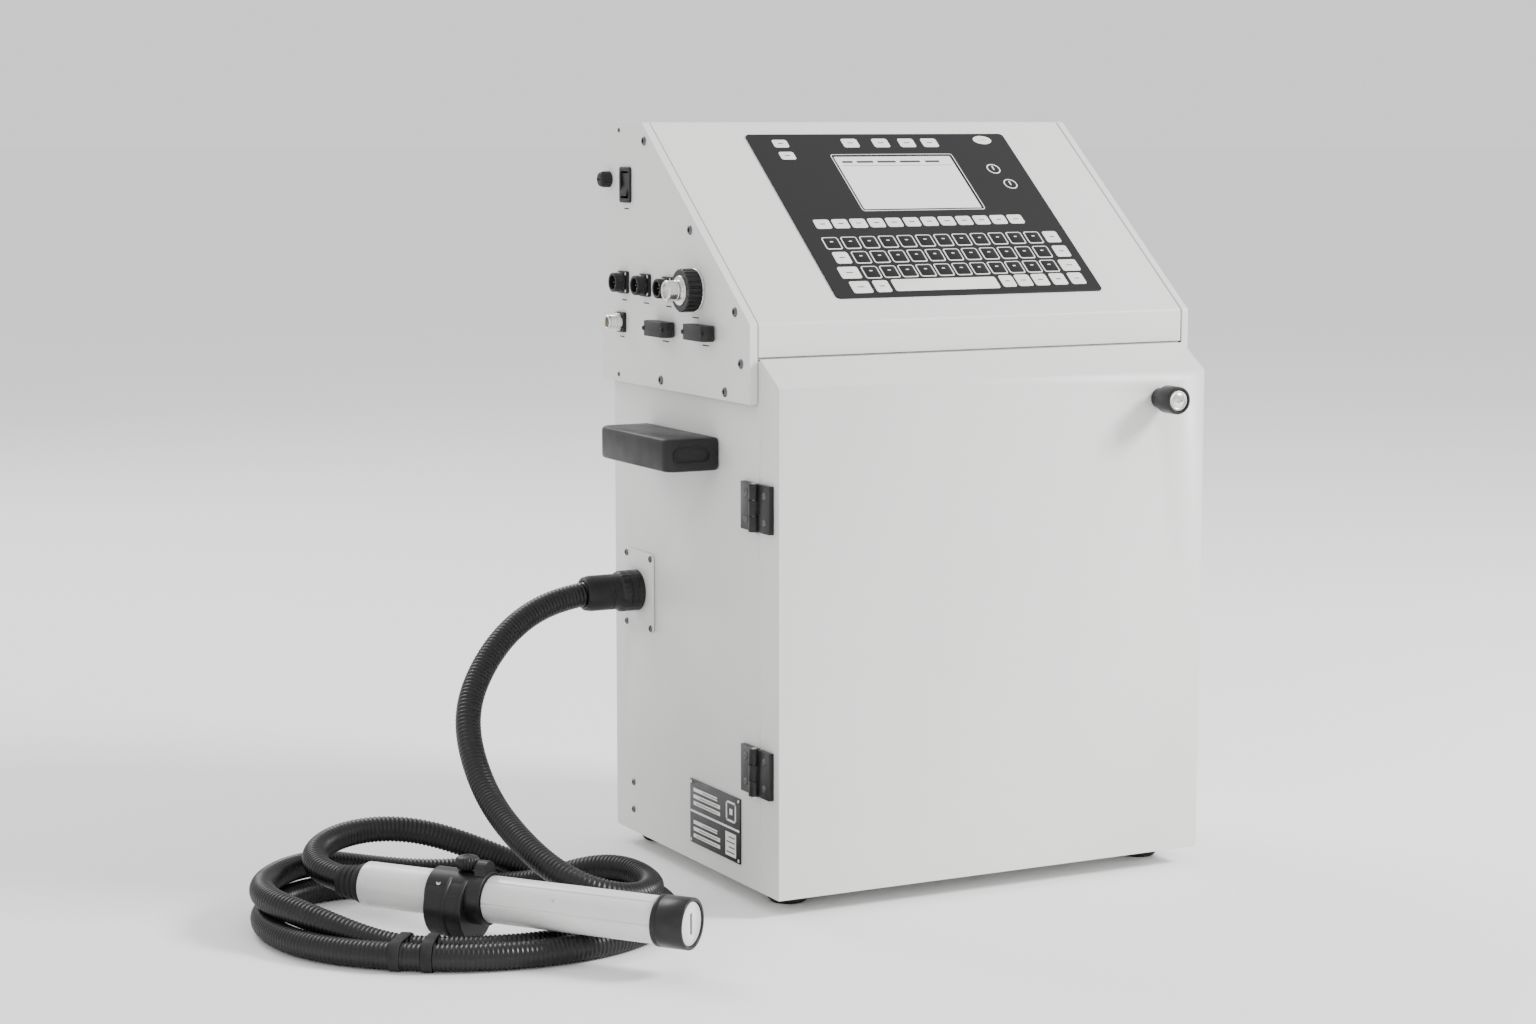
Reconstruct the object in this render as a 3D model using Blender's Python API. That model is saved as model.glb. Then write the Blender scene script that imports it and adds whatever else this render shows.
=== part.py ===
"""Continuous inkjet date coder: floor-standing cabinet with hinged front door, sloping
operator console, side connector plate, umbilical hose and a cylindrical print head.

All dimensions are in millimetres in the cabinet's own frame (x across the front, y from
the door seam towards the back, z up from the floor) and are shifted by OX, OY so that the
row frame's origin is the centre of the object's footprint.
"""

import math

import bmesh
import bpy
from mathutils import Matrix, Vector

MM = 0.001
OX, OY = 139.393, -61.495         # cabinet frame to row frame

# cabinet
HALF_W = 200.0                 # half the cabinet's and the door's width
DEPTH = 273.0                  # cabinet from door seam to back
BASE_Z = 14.0                  # underside of the cabinet, on its feet
WALL_TOP = 440.0
SHEET = 2.0
DOOR_T = 33.0                  # door thickness
DOOR_TOP_FRONT = 421.0         # where the door's sloping shoulder starts
DOOR_TOP_BACK = 441.6
# console housing
CON_W = 207.5
CON_BACK = 281.0
CON_BOTTOM = 406.0
CON_TOP = 625.0
TOP_FRONT_Y = 199.4
LIP_Y, LIP_TOP, LIP_BOTTOM = 2.0, 469.0, 442.6
# hinges
HINGE_X, HINGE_Y = -204.9, 0.0
# umbilical
HOSE_D = 21.0
GLAND_Y, GLAND_Z = 224.0, 228.5
# coil on the floor, in its own axes (a to the right of the viewer, b away)
COIL_C = (-425.0, 67.0)
AX_A = Vector((0.890, -0.4556))
AX_B = Vector((0.4556, 0.890))
COIL_A, COIL_B = 168.0, 142.0  # outer half-axes
PITCH = 21.5
# print head
HEAD_O = Vector((-516.5, 95.0, 40.0))
HEAD_U = Vector((0.6090, -0.7932, 0.0)).normalized()

for old in list(bpy.data.objects):
    bpy.data.objects.remove(old)

FRAME = bpy.data.objects.new("printer_frame", None)
FRAME.location = (OX * MM, OY * MM, 0)
bpy.context.scene.collection.objects.link(FRAME)


def material(name, rgb, rough, metal=0.0):
    m = bpy.data.materials.new(name)
    m.use_nodes = True
    b = m.node_tree.nodes["Principled BSDF"]
    b.inputs["Base Color"].default_value = (*rgb, 1)
    b.inputs["Roughness"].default_value = rough
    b.inputs["Metallic"].default_value = metal
    m.diffuse_color = (*rgb, 1)
    return m


WHITE = material("white_powder_coat", (0.86, 0.86, 0.85), 0.45)
BLACK = material("black_plastic", (0.02, 0.02, 0.022), 0.45)
RUBBER = material("black_rubber", (0.015, 0.015, 0.015), 0.8)
STEEL = material("plain_steel", (0.6, 0.6, 0.6), 0.35, 1.0)
KEYS = material("keypad_foil", (0.03, 0.03, 0.032), 0.4)
GLASS = material("display_glass", (0.75, 0.78, 0.75), 0.1)
GREEN = material("circuit_board", (0.03, 0.2, 0.08), 0.5)
TANK = material("translucent_polymer", (0.8, 0.8, 0.74), 0.4)
HOSE = material("hose_conduit", (0.02, 0.02, 0.02), 0.55)
ALU = material("anodised_aluminium", (0.5, 0.5, 0.52), 0.35, 1.0)


def link(name, mesh, mat, origin=(0, 0, 0), smooth=None, cutter=False):
    """Object from a mesh made in cabinet millimetres, with its origin at the given point."""
    o = Vector(origin)
    mesh.transform(Matrix.Scale(MM, 4) @ Matrix.Translation(-o))
    if mat is not None:
        mesh.materials.append(mat)
    if smooth is not None:
        mesh.shade_smooth()
        mesh.set_sharp_from_angle(angle=math.radians(smooth))
    obj = bpy.data.objects.new(name, mesh)
    bpy.context.scene.collection.objects.link(obj)
    obj.parent = FRAME
    obj.location = o * MM
    if cutter:
        obj.hide_render = True
        obj.display_type = "WIRE"
    return obj


def finish_bm(bm, name):
    bmesh.ops.recalc_face_normals(bm, faces=bm.faces)
    mesh = bpy.data.meshes.new(name)
    bm.to_mesh(mesh)
    bm.free()
    return mesh


def add_box(bm, lo, hi):
    lo, hi = Vector(lo), Vector(hi)
    made = bmesh.ops.create_cube(bm, size=1)["verts"]
    for v in made:
        v.co = Vector([lo[i] if v.co[i] < 0 else hi[i] for i in range(3)])
    return made


def boxes_mesh(name, pairs):
    bm = bmesh.new()
    for lo, hi in pairs:
        add_box(bm, lo, hi)
    return finish_bm(bm, name)


def box(name, lo, hi, mat, origin=None, bevel=0.0, cutter=False):
    obj = link(name, boxes_mesh(name, [(lo, hi)]), mat,
               origin or [(lo[i] + hi[i]) / 2 for i in range(3)], cutter=cutter)
    if bevel:
        m = obj.modifiers.new("edge_round", "BEVEL")
        m.width, m.segments, m.limit_method = bevel * MM, 2, "ANGLE"
    return obj


def place(axis, p, h):
    """2D profile point p at height h along the named axis."""
    if axis == "x":
        return (h, p[0], p[1])
    if axis == "y":
        return (p[0], h, p[1])
    return (p[0], p[1], h)


def loft_mesh(name, sections):
    """Closed body through sections, each a ring of the same number of 3D points."""
    bm = bmesh.new()
    rings = [[bm.verts.new(p) for p in s] for s in sections]
    n = len(rings[0])
    for a, b in zip(rings, rings[1:]):
        for i in range(n):
            j = (i + 1) % n
            bm.faces.new((a[i], a[j], b[j], b[i]))
    bm.faces.new(rings[0][::-1])
    bm.faces.new(rings[-1])
    return finish_bm(bm, name)


def prism(name, profile, axis, lo, hi, mat, origin=None, cutter=False, smooth=None):
    mesh = loft_mesh(name, [[place(axis, p, h) for p in profile] for h in (lo, hi)])
    return link(name, mesh, mat, origin or (0, 0, 0), smooth, cutter)


def frame_of(axis):
    """Rotation that takes +Z to the axis."""
    return Vector((0, 0, 1)).rotation_difference(Vector(axis).normalized()).to_matrix()


def lathe_mesh(name, profile, origin, axis, segs=24):
    """Turned body. profile is (radius, distance along the axis) from one end to the other;
    it closes on the axis where a radius is 0, and is a ring section otherwise."""
    rot, o = frame_of(axis), Vector(origin)
    bm = bmesh.new()
    rings = []
    for r, h in profile:
        if r == 0:
            rings.append([bm.verts.new(o + rot @ Vector((0, 0, h)))])
        else:
            rings.append([bm.verts.new(o + rot @ Vector((r * math.cos(t), r * math.sin(t), h)))
                          for t in (2 * math.pi * k / segs for k in range(segs))])
    pairs = list(zip(rings, rings[1:]))
    if profile[0][0] != 0:
        pairs.append((rings[-1], rings[0]))
    for a, b in pairs:
        for k in range(segs):
            j = (k + 1) % segs
            if len(a) == 1:
                bm.faces.new((a[0], b[j], b[k]))
            elif len(b) == 1:
                bm.faces.new((a[k], a[j], b[0]))
            else:
                bm.faces.new((a[k], a[j], b[j], b[k]))
    return finish_bm(bm, name)


def lathe(name, profile, origin, axis, mat, segs=24, cutter=False, pivot=None):
    return link(name, lathe_mesh(name, profile, origin, axis, segs), mat,
                pivot or origin, 35, cutter)


def disc(r, h0, h1):
    return [(0, h0), (r, h0), (r, h1), (0, h1)]


def joined(name, meshes, cutter=True, mat=None, origin=(0, 0, 0)):
    """Several closed meshes in one helper object."""
    bm = bmesh.new()
    for m in meshes:
        bm.from_mesh(m)
        bpy.data.meshes.remove(m)
    mesh = bpy.data.meshes.new(name)
    bm.to_mesh(mesh)
    bm.free()
    return link(name, mesh, mat, origin, cutter=cutter)


def boolean(obj, other, operation="DIFFERENCE"):
    m = obj.modifiers.new(operation.lower(), "BOOLEAN")
    m.operation, m.solver, m.object = operation, "EXACT", other
    other.hide_render = True
    other.display_type = "WIRE"
    return obj


def union_all(obj, meshes):
    """Adds each closed mesh to the object in turn."""
    for i, m in enumerate(meshes):
        boolean(obj, link(f"add_{obj.name}_{i}", m, None, cutter=True), "UNION")


def rounded(w, h, r, n=4, cx=0.0, cy=0.0):
    """Rounded rectangle, counter-clockwise."""
    pts = []
    for qx, qy, a0 in ((1, -1, -90), (1, 1, 0), (-1, 1, 90), (-1, -1, 180)):
        for k in range(n + 1):
            a = math.radians(a0 + 90 * k / n)
            pts.append((cx + qx * (w / 2 - r) + r * math.cos(a),
                        cy + qy * (h / 2 - r) + r * math.sin(a)))
    return pts


# ---------------------------------------------------------------- cabinet
def ring_frame(x0, x1, z0, z1, w):
    """Rectangular ring section as two loops, outer and inner."""
    return ([(x0, z0), (x1, z0), (x1, z1), (x0, z1)],
            [(x0 + w, z0 + w), (x1 - w, z0 + w), (x1 - w, z1 - w), (x0 + w, z1 - w)])


body = box("cabinet_body", (-HALF_W, 0, BASE_Z), (HALF_W, DEPTH, WALL_TOP), WHITE,
           origin=(0, DEPTH / 2, BASE_Z))
# room inside, leaving base, back, side walls and a 14 mm frame round the door opening
inside = box("cut_cabinet_room", (-HALF_W + SHEET, 5.0, BASE_Z + SHEET),
             (HALF_W - SHEET, DEPTH - SHEET, WALL_TOP + 20), None, cutter=True)
opening = box("cut_door_opening", (-HALF_W + 14, -5, BASE_Z + 14),
              (HALF_W - 14, 20, WALL_TOP - 14), None, cutter=True)
rebate = box("cut_seal_rebate", (-HALF_W + SHEET, -5, BASE_Z + SHEET),
             (HALF_W - SHEET, 3.0, WALL_TOP - SHEET), None, cutter=True)
wall_holes = joined("cut_wall_holes", [
    lathe_mesh("h", disc(15.5, 190, 210), (0, GLAND_Y, GLAND_Z), (-1, 0, 0), 24),
    # exhaust slots, low in the back
    *[boxes_mesh("s", [((-60, DEPTH - 10, z), (60, DEPTH + 10, z + 6))])
      for z in (60, 76, 92, 108)],
])
for c in (inside, opening, rebate, wall_holes):
    boolean(body, c)

# the divider stops short of the back wall, which leaves a slot for the cables
box("divider_plate", (-200.5, 4.6, 440.4), (200.5, 240.0, 442.3), STEEL)

# door: a folded tray with a sloping shoulder, open at the back
outer = [(-DOOR_T, BASE_Z + 0.6), (-0.8, BASE_Z + 0.6), (-0.8, DOOR_TOP_BACK),
         (-DOOR_T, DOOR_TOP_FRONT)]
door = prism("front_door", outer, "x", -HALF_W, HALF_W, WHITE, origin=(HINGE_X, HINGE_Y, 228))
inner = [(-DOOR_T + SHEET, BASE_Z + 3.6), (-2.8, BASE_Z + 3.6), (-2.8, 437.6),
         (-DOOR_T + SHEET, DOOR_TOP_FRONT - 2.2)]
door_room = prism("cut_door_room", inner, "x", -HALF_W + SHEET, HALF_W - SHEET, None,
                  cutter=True)
door_back = box("cut_door_back", (-HALF_W + 15, -12, BASE_Z + 16),
                (HALF_W - 15, 10, 426), None, cutter=True)
LOCK_X, LOCK_Z = 155.0, 399.0
lock_hole = lathe("cut_lock_hole", disc(7.4, 20, 45), (LOCK_X, 0, LOCK_Z), (0, -1, 0), None,
                  20, cutter=True)
for c in (door_room, door_back, lock_hole):
    boolean(door, c)

# seal: a rubber ring in the rebate between frame and door
o_loop, i_loop = ring_frame(-HALF_W + 2.8, HALF_W - 2.8, BASE_Z + 2.8, WALL_TOP - 2.8, 9)
bm = bmesh.new()
loops = [[bm.verts.new((p[0], y, p[1])) for p in loop]
         for y in (-0.4, 2.6) for loop in (o_loop, i_loop)]
for a, b in ((0, 1), (3, 2), (2, 0), (1, 3)):
    for k in range(4):
        j = (k + 1) % 4
        bm.faces.new((loops[a][k], loops[a][j], loops[b][j], loops[b][k]))
link("door_seal", finish_bm(bm, "door_seal"), RUBBER, (0, 0, 228))


# ---------------------------------------------------------------- hinges
def hinge(prefix, zc):
    """Butt hinge on the side faces: two leaves, three knuckles and a pin."""
    h, r_out, r_bore, r_pin = 38.0, 4.6, 2.6, 2.25
    third = h / 3
    x_face = -HALF_W - 0.3

    def knuckle(z0, z1):
        return lathe_mesh("k", disc(r_out, z0, z1), (HINGE_X, HINGE_Y, 0), (0, 0, 1), 18)

    def cut_cyl(z0, z1, r, tag):
        return lathe(f"cut_{prefix}_{tag}", disc(r, z0, z1), (HINGE_X, HINGE_Y, 0), (0, 0, 1),
                     None, 18, cutter=True)

    z0, z1 = zc - h / 2, zc + h / 2
    m0, m1 = z0 + third, z1 - third
    fixed = box(f"{prefix}_cabinet_leaf", (x_face - 4.2, 1.2, z0), (x_face, 24.5, z1), BLACK,
                origin=(HINGE_X, HINGE_Y, zc))
    k1 = joined(f"add_{prefix}_fixed", [knuckle(z0, m0), knuckle(m1, z1)])
    boolean(fixed, k1, "UNION")
    boolean(fixed, box(f"cut_{prefix}_gap_f", (-220, -6, m0 - 0.3), (-195, 5.6, m1 + 0.3), None,
                       cutter=True))
    boolean(fixed, cut_cyl(z0 - 5, z1 + 5, r_bore, "bore_f"))
    moving = box(f"{prefix}_door_leaf", (x_face - 4.2, -24.5, z0), (x_face, -1.2, z1), BLACK,
                 origin=(HINGE_X, HINGE_Y, zc))
    k2 = joined(f"add_{prefix}_moving", [knuckle(m0 + 0.3, m1 - 0.3)])
    boolean(moving, k2, "UNION")
    gaps = joined(f"cut_{prefix}_gap_m", [
        boxes_mesh("g", [((-220, -5.6, z0 - 5), (-195, 6, m0 + 0.3))]),
        boxes_mesh("g", [((-220, -5.6, m1 - 0.3), (-195, 6, z1 + 5))])])
    boolean(moving, gaps)
    boolean(moving, cut_cyl(z0 - 5, z1 + 5, r_bore, "bore_m"))
    lathe(f"{prefix}_pin", [(0, z0 - 1.6), (3.4, z0 - 1.6), (3.4, z0 - 0.4), (r_pin, z0 - 0.4),
                            (r_pin, z1 + 0.6), (0, z1 + 0.6)],
          (HINGE_X, HINGE_Y, 0), (0, 0, 1), STEEL, 16, pivot=(HINGE_X, HINGE_Y, zc))


hinge("upper_hinge", 325.0)
hinge("lower_hinge", 113.0)

# ---------------------------------------------------------------- door lock
FACE_Y = -DOOR_T
LP = (LOCK_X, 0, LOCK_Z)
lathe("lock_collar", [
    (4.3, 27.5), (10.0, 27.5), (10.0, 30.7), (7.1, 30.7), (7.1, 33.3), (8.5, 33.3), (8.5, 41),
    (11.5, 44), (11.5, 60), (10.4, 61.5), (9.0, 61.5), (9.0, 57), (4.3, 57)],
      LP, (0, -1, 0), BLACK, 24)
core = lathe("lock_core", [
    (0, -5.6), (3.9, -5.6), (3.9, 57.4), (8.6, 57.4), (8.6, 60.6), (0, 60.6)],
             LP, (0, -1, 0), STEEL, 24)
boolean(core, box("cut_key_slot", (LOCK_X - 5.2, -66, LOCK_Z - 0.9),
                  (LOCK_X + 5.2, -58.6, LOCK_Z + 0.9), None, cutter=True))
cam = prism("lock_cam", rounded(16, 36, 5, 3, LOCK_X, LOCK_Z - 10), "y", 7.0, 10.0, STEEL,
            origin=LP)
boolean(cam, lathe("cut_cam_bore", disc(4.2, -20, -1), LP, (0, -1, 0), None, 16, cutter=True))
# the core's tail passes through the cam
boolean(core, lathe("add_core_tail", disc(3.9, -12.5, -2), LP, (0, -1, 0), None, 24,
                    cutter=True), "UNION")

# ---------------------------------------------------------------- feet
for nx, fx in (("left", -165.0), ("right", 175.0)):
    for ny, fy in (("front", 8.0), ("rear", 248.0)):
        lathe(f"foot_{ny}_{nx}", [(0, 0), (14.5, 0), (16.5, 2.5), (17.0, BASE_Z - 0.3),
                                  (0, BASE_Z - 0.3)], (fx, fy + 10, 0), (0, 0, 1), RUBBER, 20)


# ---------------------------------------------------------------- carrying handles
def handle(name, side):
    """Moulded bar handle on a side wall, hollow underneath for the fingers."""
    y0, y1, z0, z1 = 70.0, 203.0, 347.0, 374.0
    x_in, x_out = side * (HALF_W + 0.3), side * (HALF_W + 47.5)
    r = 10.0
    plan = [(x_in, y0)]
    for a0, cy in ((-90, y0 + r), (0, y1 - r)):
        for k in range(5):
            a = math.radians(a0 + 90 * k / 4)
            plan.append((x_out + side * (-r + r * math.cos(a)), cy + r * math.sin(a)))
    plan.append((x_in, y1))
    obj = prism(name, plan, "z", z0, z1, BLACK, origin=(side * HALF_W, 136.5, 360.5))
    bev = obj.modifiers.new("edge_round", "BEVEL")
    bev.width, bev.segments, bev.limit_method = 3.0 * MM, 2, "ANGLE"
    bev.angle_limit = math.radians(50)
    xs = sorted((side * (HALF_W + 10), side * (HALF_W + 41.5)))
    boolean(obj, box(f"cut_{name}_fingers", (xs[0], y0 + 12, z0 - 10), (xs[1], y1 - 12, z1 - 6),
                     None, cutter=True))
    ends = joined(f"cut_{name}_ends", [
        loft_mesh("e", [[(p[0], h, p[1]) for p in rounded(32, 12.5, 6.2, 4, side * (HALF_W + 25), 360.5)]
                        for h in (a, b)]) for a, b in ((y0 - 5, y0 + 2.0), (y1 - 2.0, y1 + 5))])
    boolean(obj, ends)
    return obj


handle("left_handle", -1)
handle("right_handle", 1)

# blank data plate, low on the left wall
box("data_plate", (-201.5, 32, 30), (-200.3, 124, 84), BLACK)

# ---------------------------------------------------------------- umbilical outlet
flange = prism("umbilical_flange", rounded(56, 68, 5, 3, GLAND_Y - 2.5, GLAND_Z), "x",
               -202.3, -200.3, WHITE, origin=(-201, GLAND_Y, GLAND_Z))
boolean(flange, lathe("cut_flange_bore", disc(15.5, 190, 215), (0, GLAND_Y, GLAND_Z),
                      (-1, 0, 0), None, 24, cutter=True))
lathe("umbilical_gland", [
    (11.0, 188), (15.0, 188), (15.0, 202.6), (17.5, 202.6), (17.5, 220), (16.2, 222),
    (15.2, 222), (15.2, 248), (14.0, 253), (11.0, 253)],
      (0, GLAND_Y, GLAND_Z), (-1, 0, 0), BLACK, 24)

# ---------------------------------------------------------------- console housing


def inset(points, d):
    """Offsets an open polyline to its inner side by d."""
    out = []
    n = len(points)
    normals = []
    for a, b in zip(points, points[1:]):
        t = Vector((b[0] - a[0], b[1] - a[1])).normalized()
        normals.append(Vector((-t.y, t.x)))
    for i, p in enumerate(points):
        q = Vector(p)
        if i == 0:
            out.append(q + normals[0] * d)
        elif i == n - 1:
            out.append(q + normals[-1] * d)
        else:
            m = (normals[i - 1] + normals[i]).normalized()
            out.append(q + m * (d / m.dot(normals[i])))
    return [tuple(p) for p in out]


# back, top, slope and lip, followed so that the inside lies to the left
CON = [(CON_BACK, CON_BOTTOM), (CON_BACK, CON_TOP), (TOP_FRONT_Y, CON_TOP), (LIP_Y, LIP_TOP),
       (LIP_Y, LIP_BOTTOM)]


def shell_ring(x, d):
    pts = inset(CON, d) if d else CON
    inn = inset(CON, d + SHEET)
    pts = [(p[0], p[1]) for p in pts]
    pts[0] = (pts[0][0], CON_BOTTOM)
    inn[0] = (inn[0][0], CON_BOTTOM)
    pts[-1] = (pts[-1][0], LIP_BOTTOM)
    inn[-1] = (inn[-1][0], LIP_BOTTOM)
    return [(x, p[0], p[1]) for p in pts + inn[::-1]]


shell = link("console_shell", loft_mesh("console_shell", [
    shell_ring(-205.2, 2.6), shell_ring(-203.6, 0.9), shell_ring(-200.8, 0.0),
    shell_ring(200.8, 0.0), shell_ring(203.6, 0.9), shell_ring(205.2, 2.6)]), WHITE,
    (0, 140, 520))

SLOPE_LEN = math.hypot(TOP_FRONT_Y - LIP_Y, CON_TOP - LIP_TOP)
SLOPE_T = Vector((0, TOP_FRONT_Y - LIP_Y, CON_TOP - LIP_TOP)).normalized()
SLOPE_N = Vector((0, -SLOPE_T.z, SLOPE_T.y))
SLOPE_O = Vector((0, LIP_Y, LIP_TOP))


def on_slope(x, s, h):
    """Point on the sloping panel: x across, s up the slope, h out of it."""
    return SLOPE_O + Vector((x, 0, 0)) + SLOPE_T * s + SLOPE_N * h


def slope_prism(name, profile, h0, h1, mat, cutter=False, origin=None):
    mesh = loft_mesh(name, [[on_slope(p[0], p[1], h) for p in profile] for h in (h0, h1)])
    return link(name, mesh, mat, origin or on_slope(10, 130, 0), cutter=cutter)


PAD = (-119.0, 134.5, 26.0, 234.0)      # keypad: x0, x1, s0, s1
WIN = (-47.0, 68.0, 134.5, 204.5)       # display window
boolean(shell, slope_prism("cut_display", rounded(WIN[1] - WIN[0] + 2, WIN[3] - WIN[2] + 2, 1.5,
                                                  1, (WIN[0] + WIN[1]) / 2,
                                                  (WIN[2] + WIN[3]) / 2), -12, 10, None, True))
FAN = (-60.0, 545.0)                    # x, z of the fan in the back wall
boolean(shell, joined("cut_fan_grille", [
    boxes_mesh("g", [((FAN[0] - w, CON_BACK - 12, FAN[1] + dz - 2.5),
                      (FAN[0] + w, CON_BACK + 10, FAN[1] + dz + 2.5))])
    for dz, w in ((-30, 18), (-20, 29), (-10, 34), (0, 35), (10, 34), (20, 29), (30, 18))]))

pad = slope_prism("keypad_membrane", rounded(PAD[1] - PAD[0], PAD[3] - PAD[2], 3, 3,
                                             (PAD[0] + PAD[1]) / 2, (PAD[2] + PAD[3]) / 2),
                  0.3, 1.5, KEYS)
boolean(pad, slope_prism("cut_pad_window", rounded(WIN[1] - WIN[0], WIN[3] - WIN[2], 1, 1,
                                                   (WIN[0] + WIN[1]) / 2,
                                                   (WIN[2] + WIN[3]) / 2), -5, 10, None, True))
slope_prism("display_window", rounded(WIN[1] - WIN[0] - 0.8, WIN[3] - WIN[2] - 0.8, 1, 1,
                                      (WIN[0] + WIN[1]) / 2, (WIN[2] + WIN[3]) / 2),
            -1.6, 0.9, GLASS)
slope_prism("display_module", [(WIN[0] - 8, WIN[2] - 8), (WIN[1] + 8, WIN[2] - 8),
                               (WIN[1] + 8, WIN[3] + 8), (WIN[0] - 8, WIN[3] + 8)],
            -14.0, -2.5, GREEN)

side = inset(CON, 3.0)
SIDE = [(side[0][0], CON_BOTTOM)] + side[1:4] + [(side[4][0], 406.0)]


def side_plate(name, sgn):
    lo, hi = sorted((sgn * 205.5, sgn * CON_W))
    return prism(name, SIDE, "x", lo, hi, WHITE, origin=(sgn * 206.5, 140, 500))


left_plate = side_plate("connector_side_plate", -1)
side_plate("right_side_plate", 1)

# ---------------------------------------------------------------- connectors
XF = -CON_W                        # outer face of the connector plate
SOCKETS = ((235.0, 491.0), (191.5, 490.5), (148.0, 490.0))
ROUND = (98.0, 491.0)
SENSOR = (240.0, 457.0)
PORTS = ((134.0, 174.0, 456.5), (60.0, 100.0, 458.0))
SWITCH = (230.0, 573.0)
FUSE = (264.0, 577.0)
plate_holes = [lathe_mesh("h", disc(7.6, 200, 212), (0, y, z), (-1, 0, 0), 20)
               for y, z in SOCKETS]
plate_holes += [
    lathe_mesh("h", disc(12.6, 200, 212), (0, *ROUND), (-1, 0, 0), 24),
    lathe_mesh("h", disc(6.6, 200, 212), (0, *SENSOR), (-1, 0, 0), 20),
    lathe_mesh("h", disc(5.6, 200, 212), (0, *FUSE), (-1, 0, 0), 20),
    boxes_mesh("h", [((-212, SWITCH[0] - 9.1, SWITCH[1] - 13.1),
                      (-200, SWITCH[0] + 9.1, SWITCH[1] + 13.1))])]
plate_holes += [boxes_mesh("h", [((-212, a + 5, z - 4), (-200, b - 5, z + 4))])
                for a, b, z in PORTS]
boolean(left_plate, joined("cut_plate_holes", plate_holes))

for i, (y, z) in enumerate(SOCKETS, 1):
    s = prism(f"interface_socket_{i}", rounded(19, 19, 1.5, 1, y, z), "x", XF - 2.6, XF - 0.3,
              BLACK, origin=(XF, y, z))
    boolean(s, lathe(f"add_socket_{i}", [(0, 192), (7.2, 192), (7.2, 209), (8.2, 209),
                                         (8.2, 218.4), (7.4, 219.2), (6.0, 219.2), (6.0, 212.5),
                                         (0, 212.5)],
                     (0, y, z), (-1, 0, 0), None, 20, cutter=True), "UNION")
lathe("round_connector_body", [
    (0, 186), (12.2, 186), (12.2, 207.8), (17.5, 207.8), (17.5, 209.6), (12.0, 209.6),
    (12.0, 222.6), (8.4, 223.4), (8.4, 234), (7.4, 235), (0, 235)],
      (0, *ROUND), (-1, 0, 0), BLACK, 24)


def knurled(r0, r1, n):
    """Outline with n flutes."""
    pts = []
    for k in range(n):
        for f, r in ((0.0, r1), (0.45, r1), (0.55, r0), (0.9, r0)):
            a = 2 * math.pi * (k + f) / n
            pts.append((r * math.cos(a), r * math.sin(a)))
    return pts


ring_profile = [(ROUND[0] + p[0], ROUND[1] + p[1]) for p in knurled(16.4, 17.6, 16)]
cring = prism("round_connector_ring", ring_profile, "x", -221.8, -210.0, BLACK,
              origin=(-216, *ROUND))
boolean(cring, lathe("cut_ring_bore", disc(12.4, 200, 230), (0, *ROUND), (-1, 0, 0), None, 24,
                     cutter=True))

s = prism("sensor_socket", rounded(17, 17, 1.5, 1, *SENSOR), "x", XF - 3.0, XF - 0.3, BLACK,
          origin=(XF, *SENSOR))
boolean(s, lathe("add_sensor", [(0, 192), (6.2, 192), (6.2, 209), (7.6, 209), (7.6, 214),
                                (6.2, 214), (6.2, 221.5), (5.4, 222.2), (4.4, 222.2),
                                (4.4, 216), (0, 216)],
                 (0, *SENSOR), (-1, 0, 0), None, 20, cutter=True), "UNION")
for nm, (a, b, z) in zip(("serial_port_front", "serial_port_rear"), PORTS[::-1]):
    c = prism(nm, rounded(12.5, b - a, 5.6, 4, 0, 0), "z", -6.3, 6.3, BLACK)
    # body stands out of the plate, its long side along y
    c.data.transform(Matrix.Translation(Vector((-214.1, (a + b) / 2, z)) * MM))
    boolean(c, box(f"add_{nm}", (-209.5, a + 6, z - 3.4), (-196, b - 6, z + 3.4), None,
                   cutter=True), "UNION")

frame_out = rounded(21, 30, 1.5, 1, *SWITCH)
sw = prism("power_switch_frame", frame_out, "x", XF - 2.2, XF - 0.3, BLACK,
           origin=(XF, *SWITCH))
boolean(sw, box("add_switch_body", (-209, SWITCH[0] - 8.8, SWITCH[1] - 12.8),
                (-188, SWITCH[0] + 8.8, SWITCH[1] + 12.8), None, cutter=True), "UNION")
boolean(sw, box("cut_switch_well", (-215, SWITCH[0] - 7.3, SWITCH[1] - 11.3),
                (-195, SWITCH[0] + 7.3, SWITCH[1] + 11.3), None, cutter=True))
# rocker: a shallow V, resting with its lower end pressed in
tilt = math.radians(8)
rock = []
for dx, dz in ((5.5, 8.0), (5.5, -8.0), (-1.2, -9.6), (-2.6, -9.4), (-0.8, 0.0), (-2.6, 9.4),
               (-1.2, 9.6)):
    rock.append((-207.5 + dx * math.cos(tilt) + dz * math.sin(tilt),
                 SWITCH[1] + dz * math.cos(tilt) - dx * math.sin(tilt)))
prism("power_switch_rocker", rock, "y", SWITCH[0] - 6.6, SWITCH[0] + 6.6, BLACK,
      origin=(-204.5, *SWITCH))
lathe("fuse_cap", [(0, 190), (5.0, 190), (5.0, 207.8), (6.8, 207.8), (6.8, 214), (6.0, 216.5),
                   (4.5, 217.5), (0, 217.5)], (0, *FUSE), (-1, 0, 0), BLACK, 20)

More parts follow.
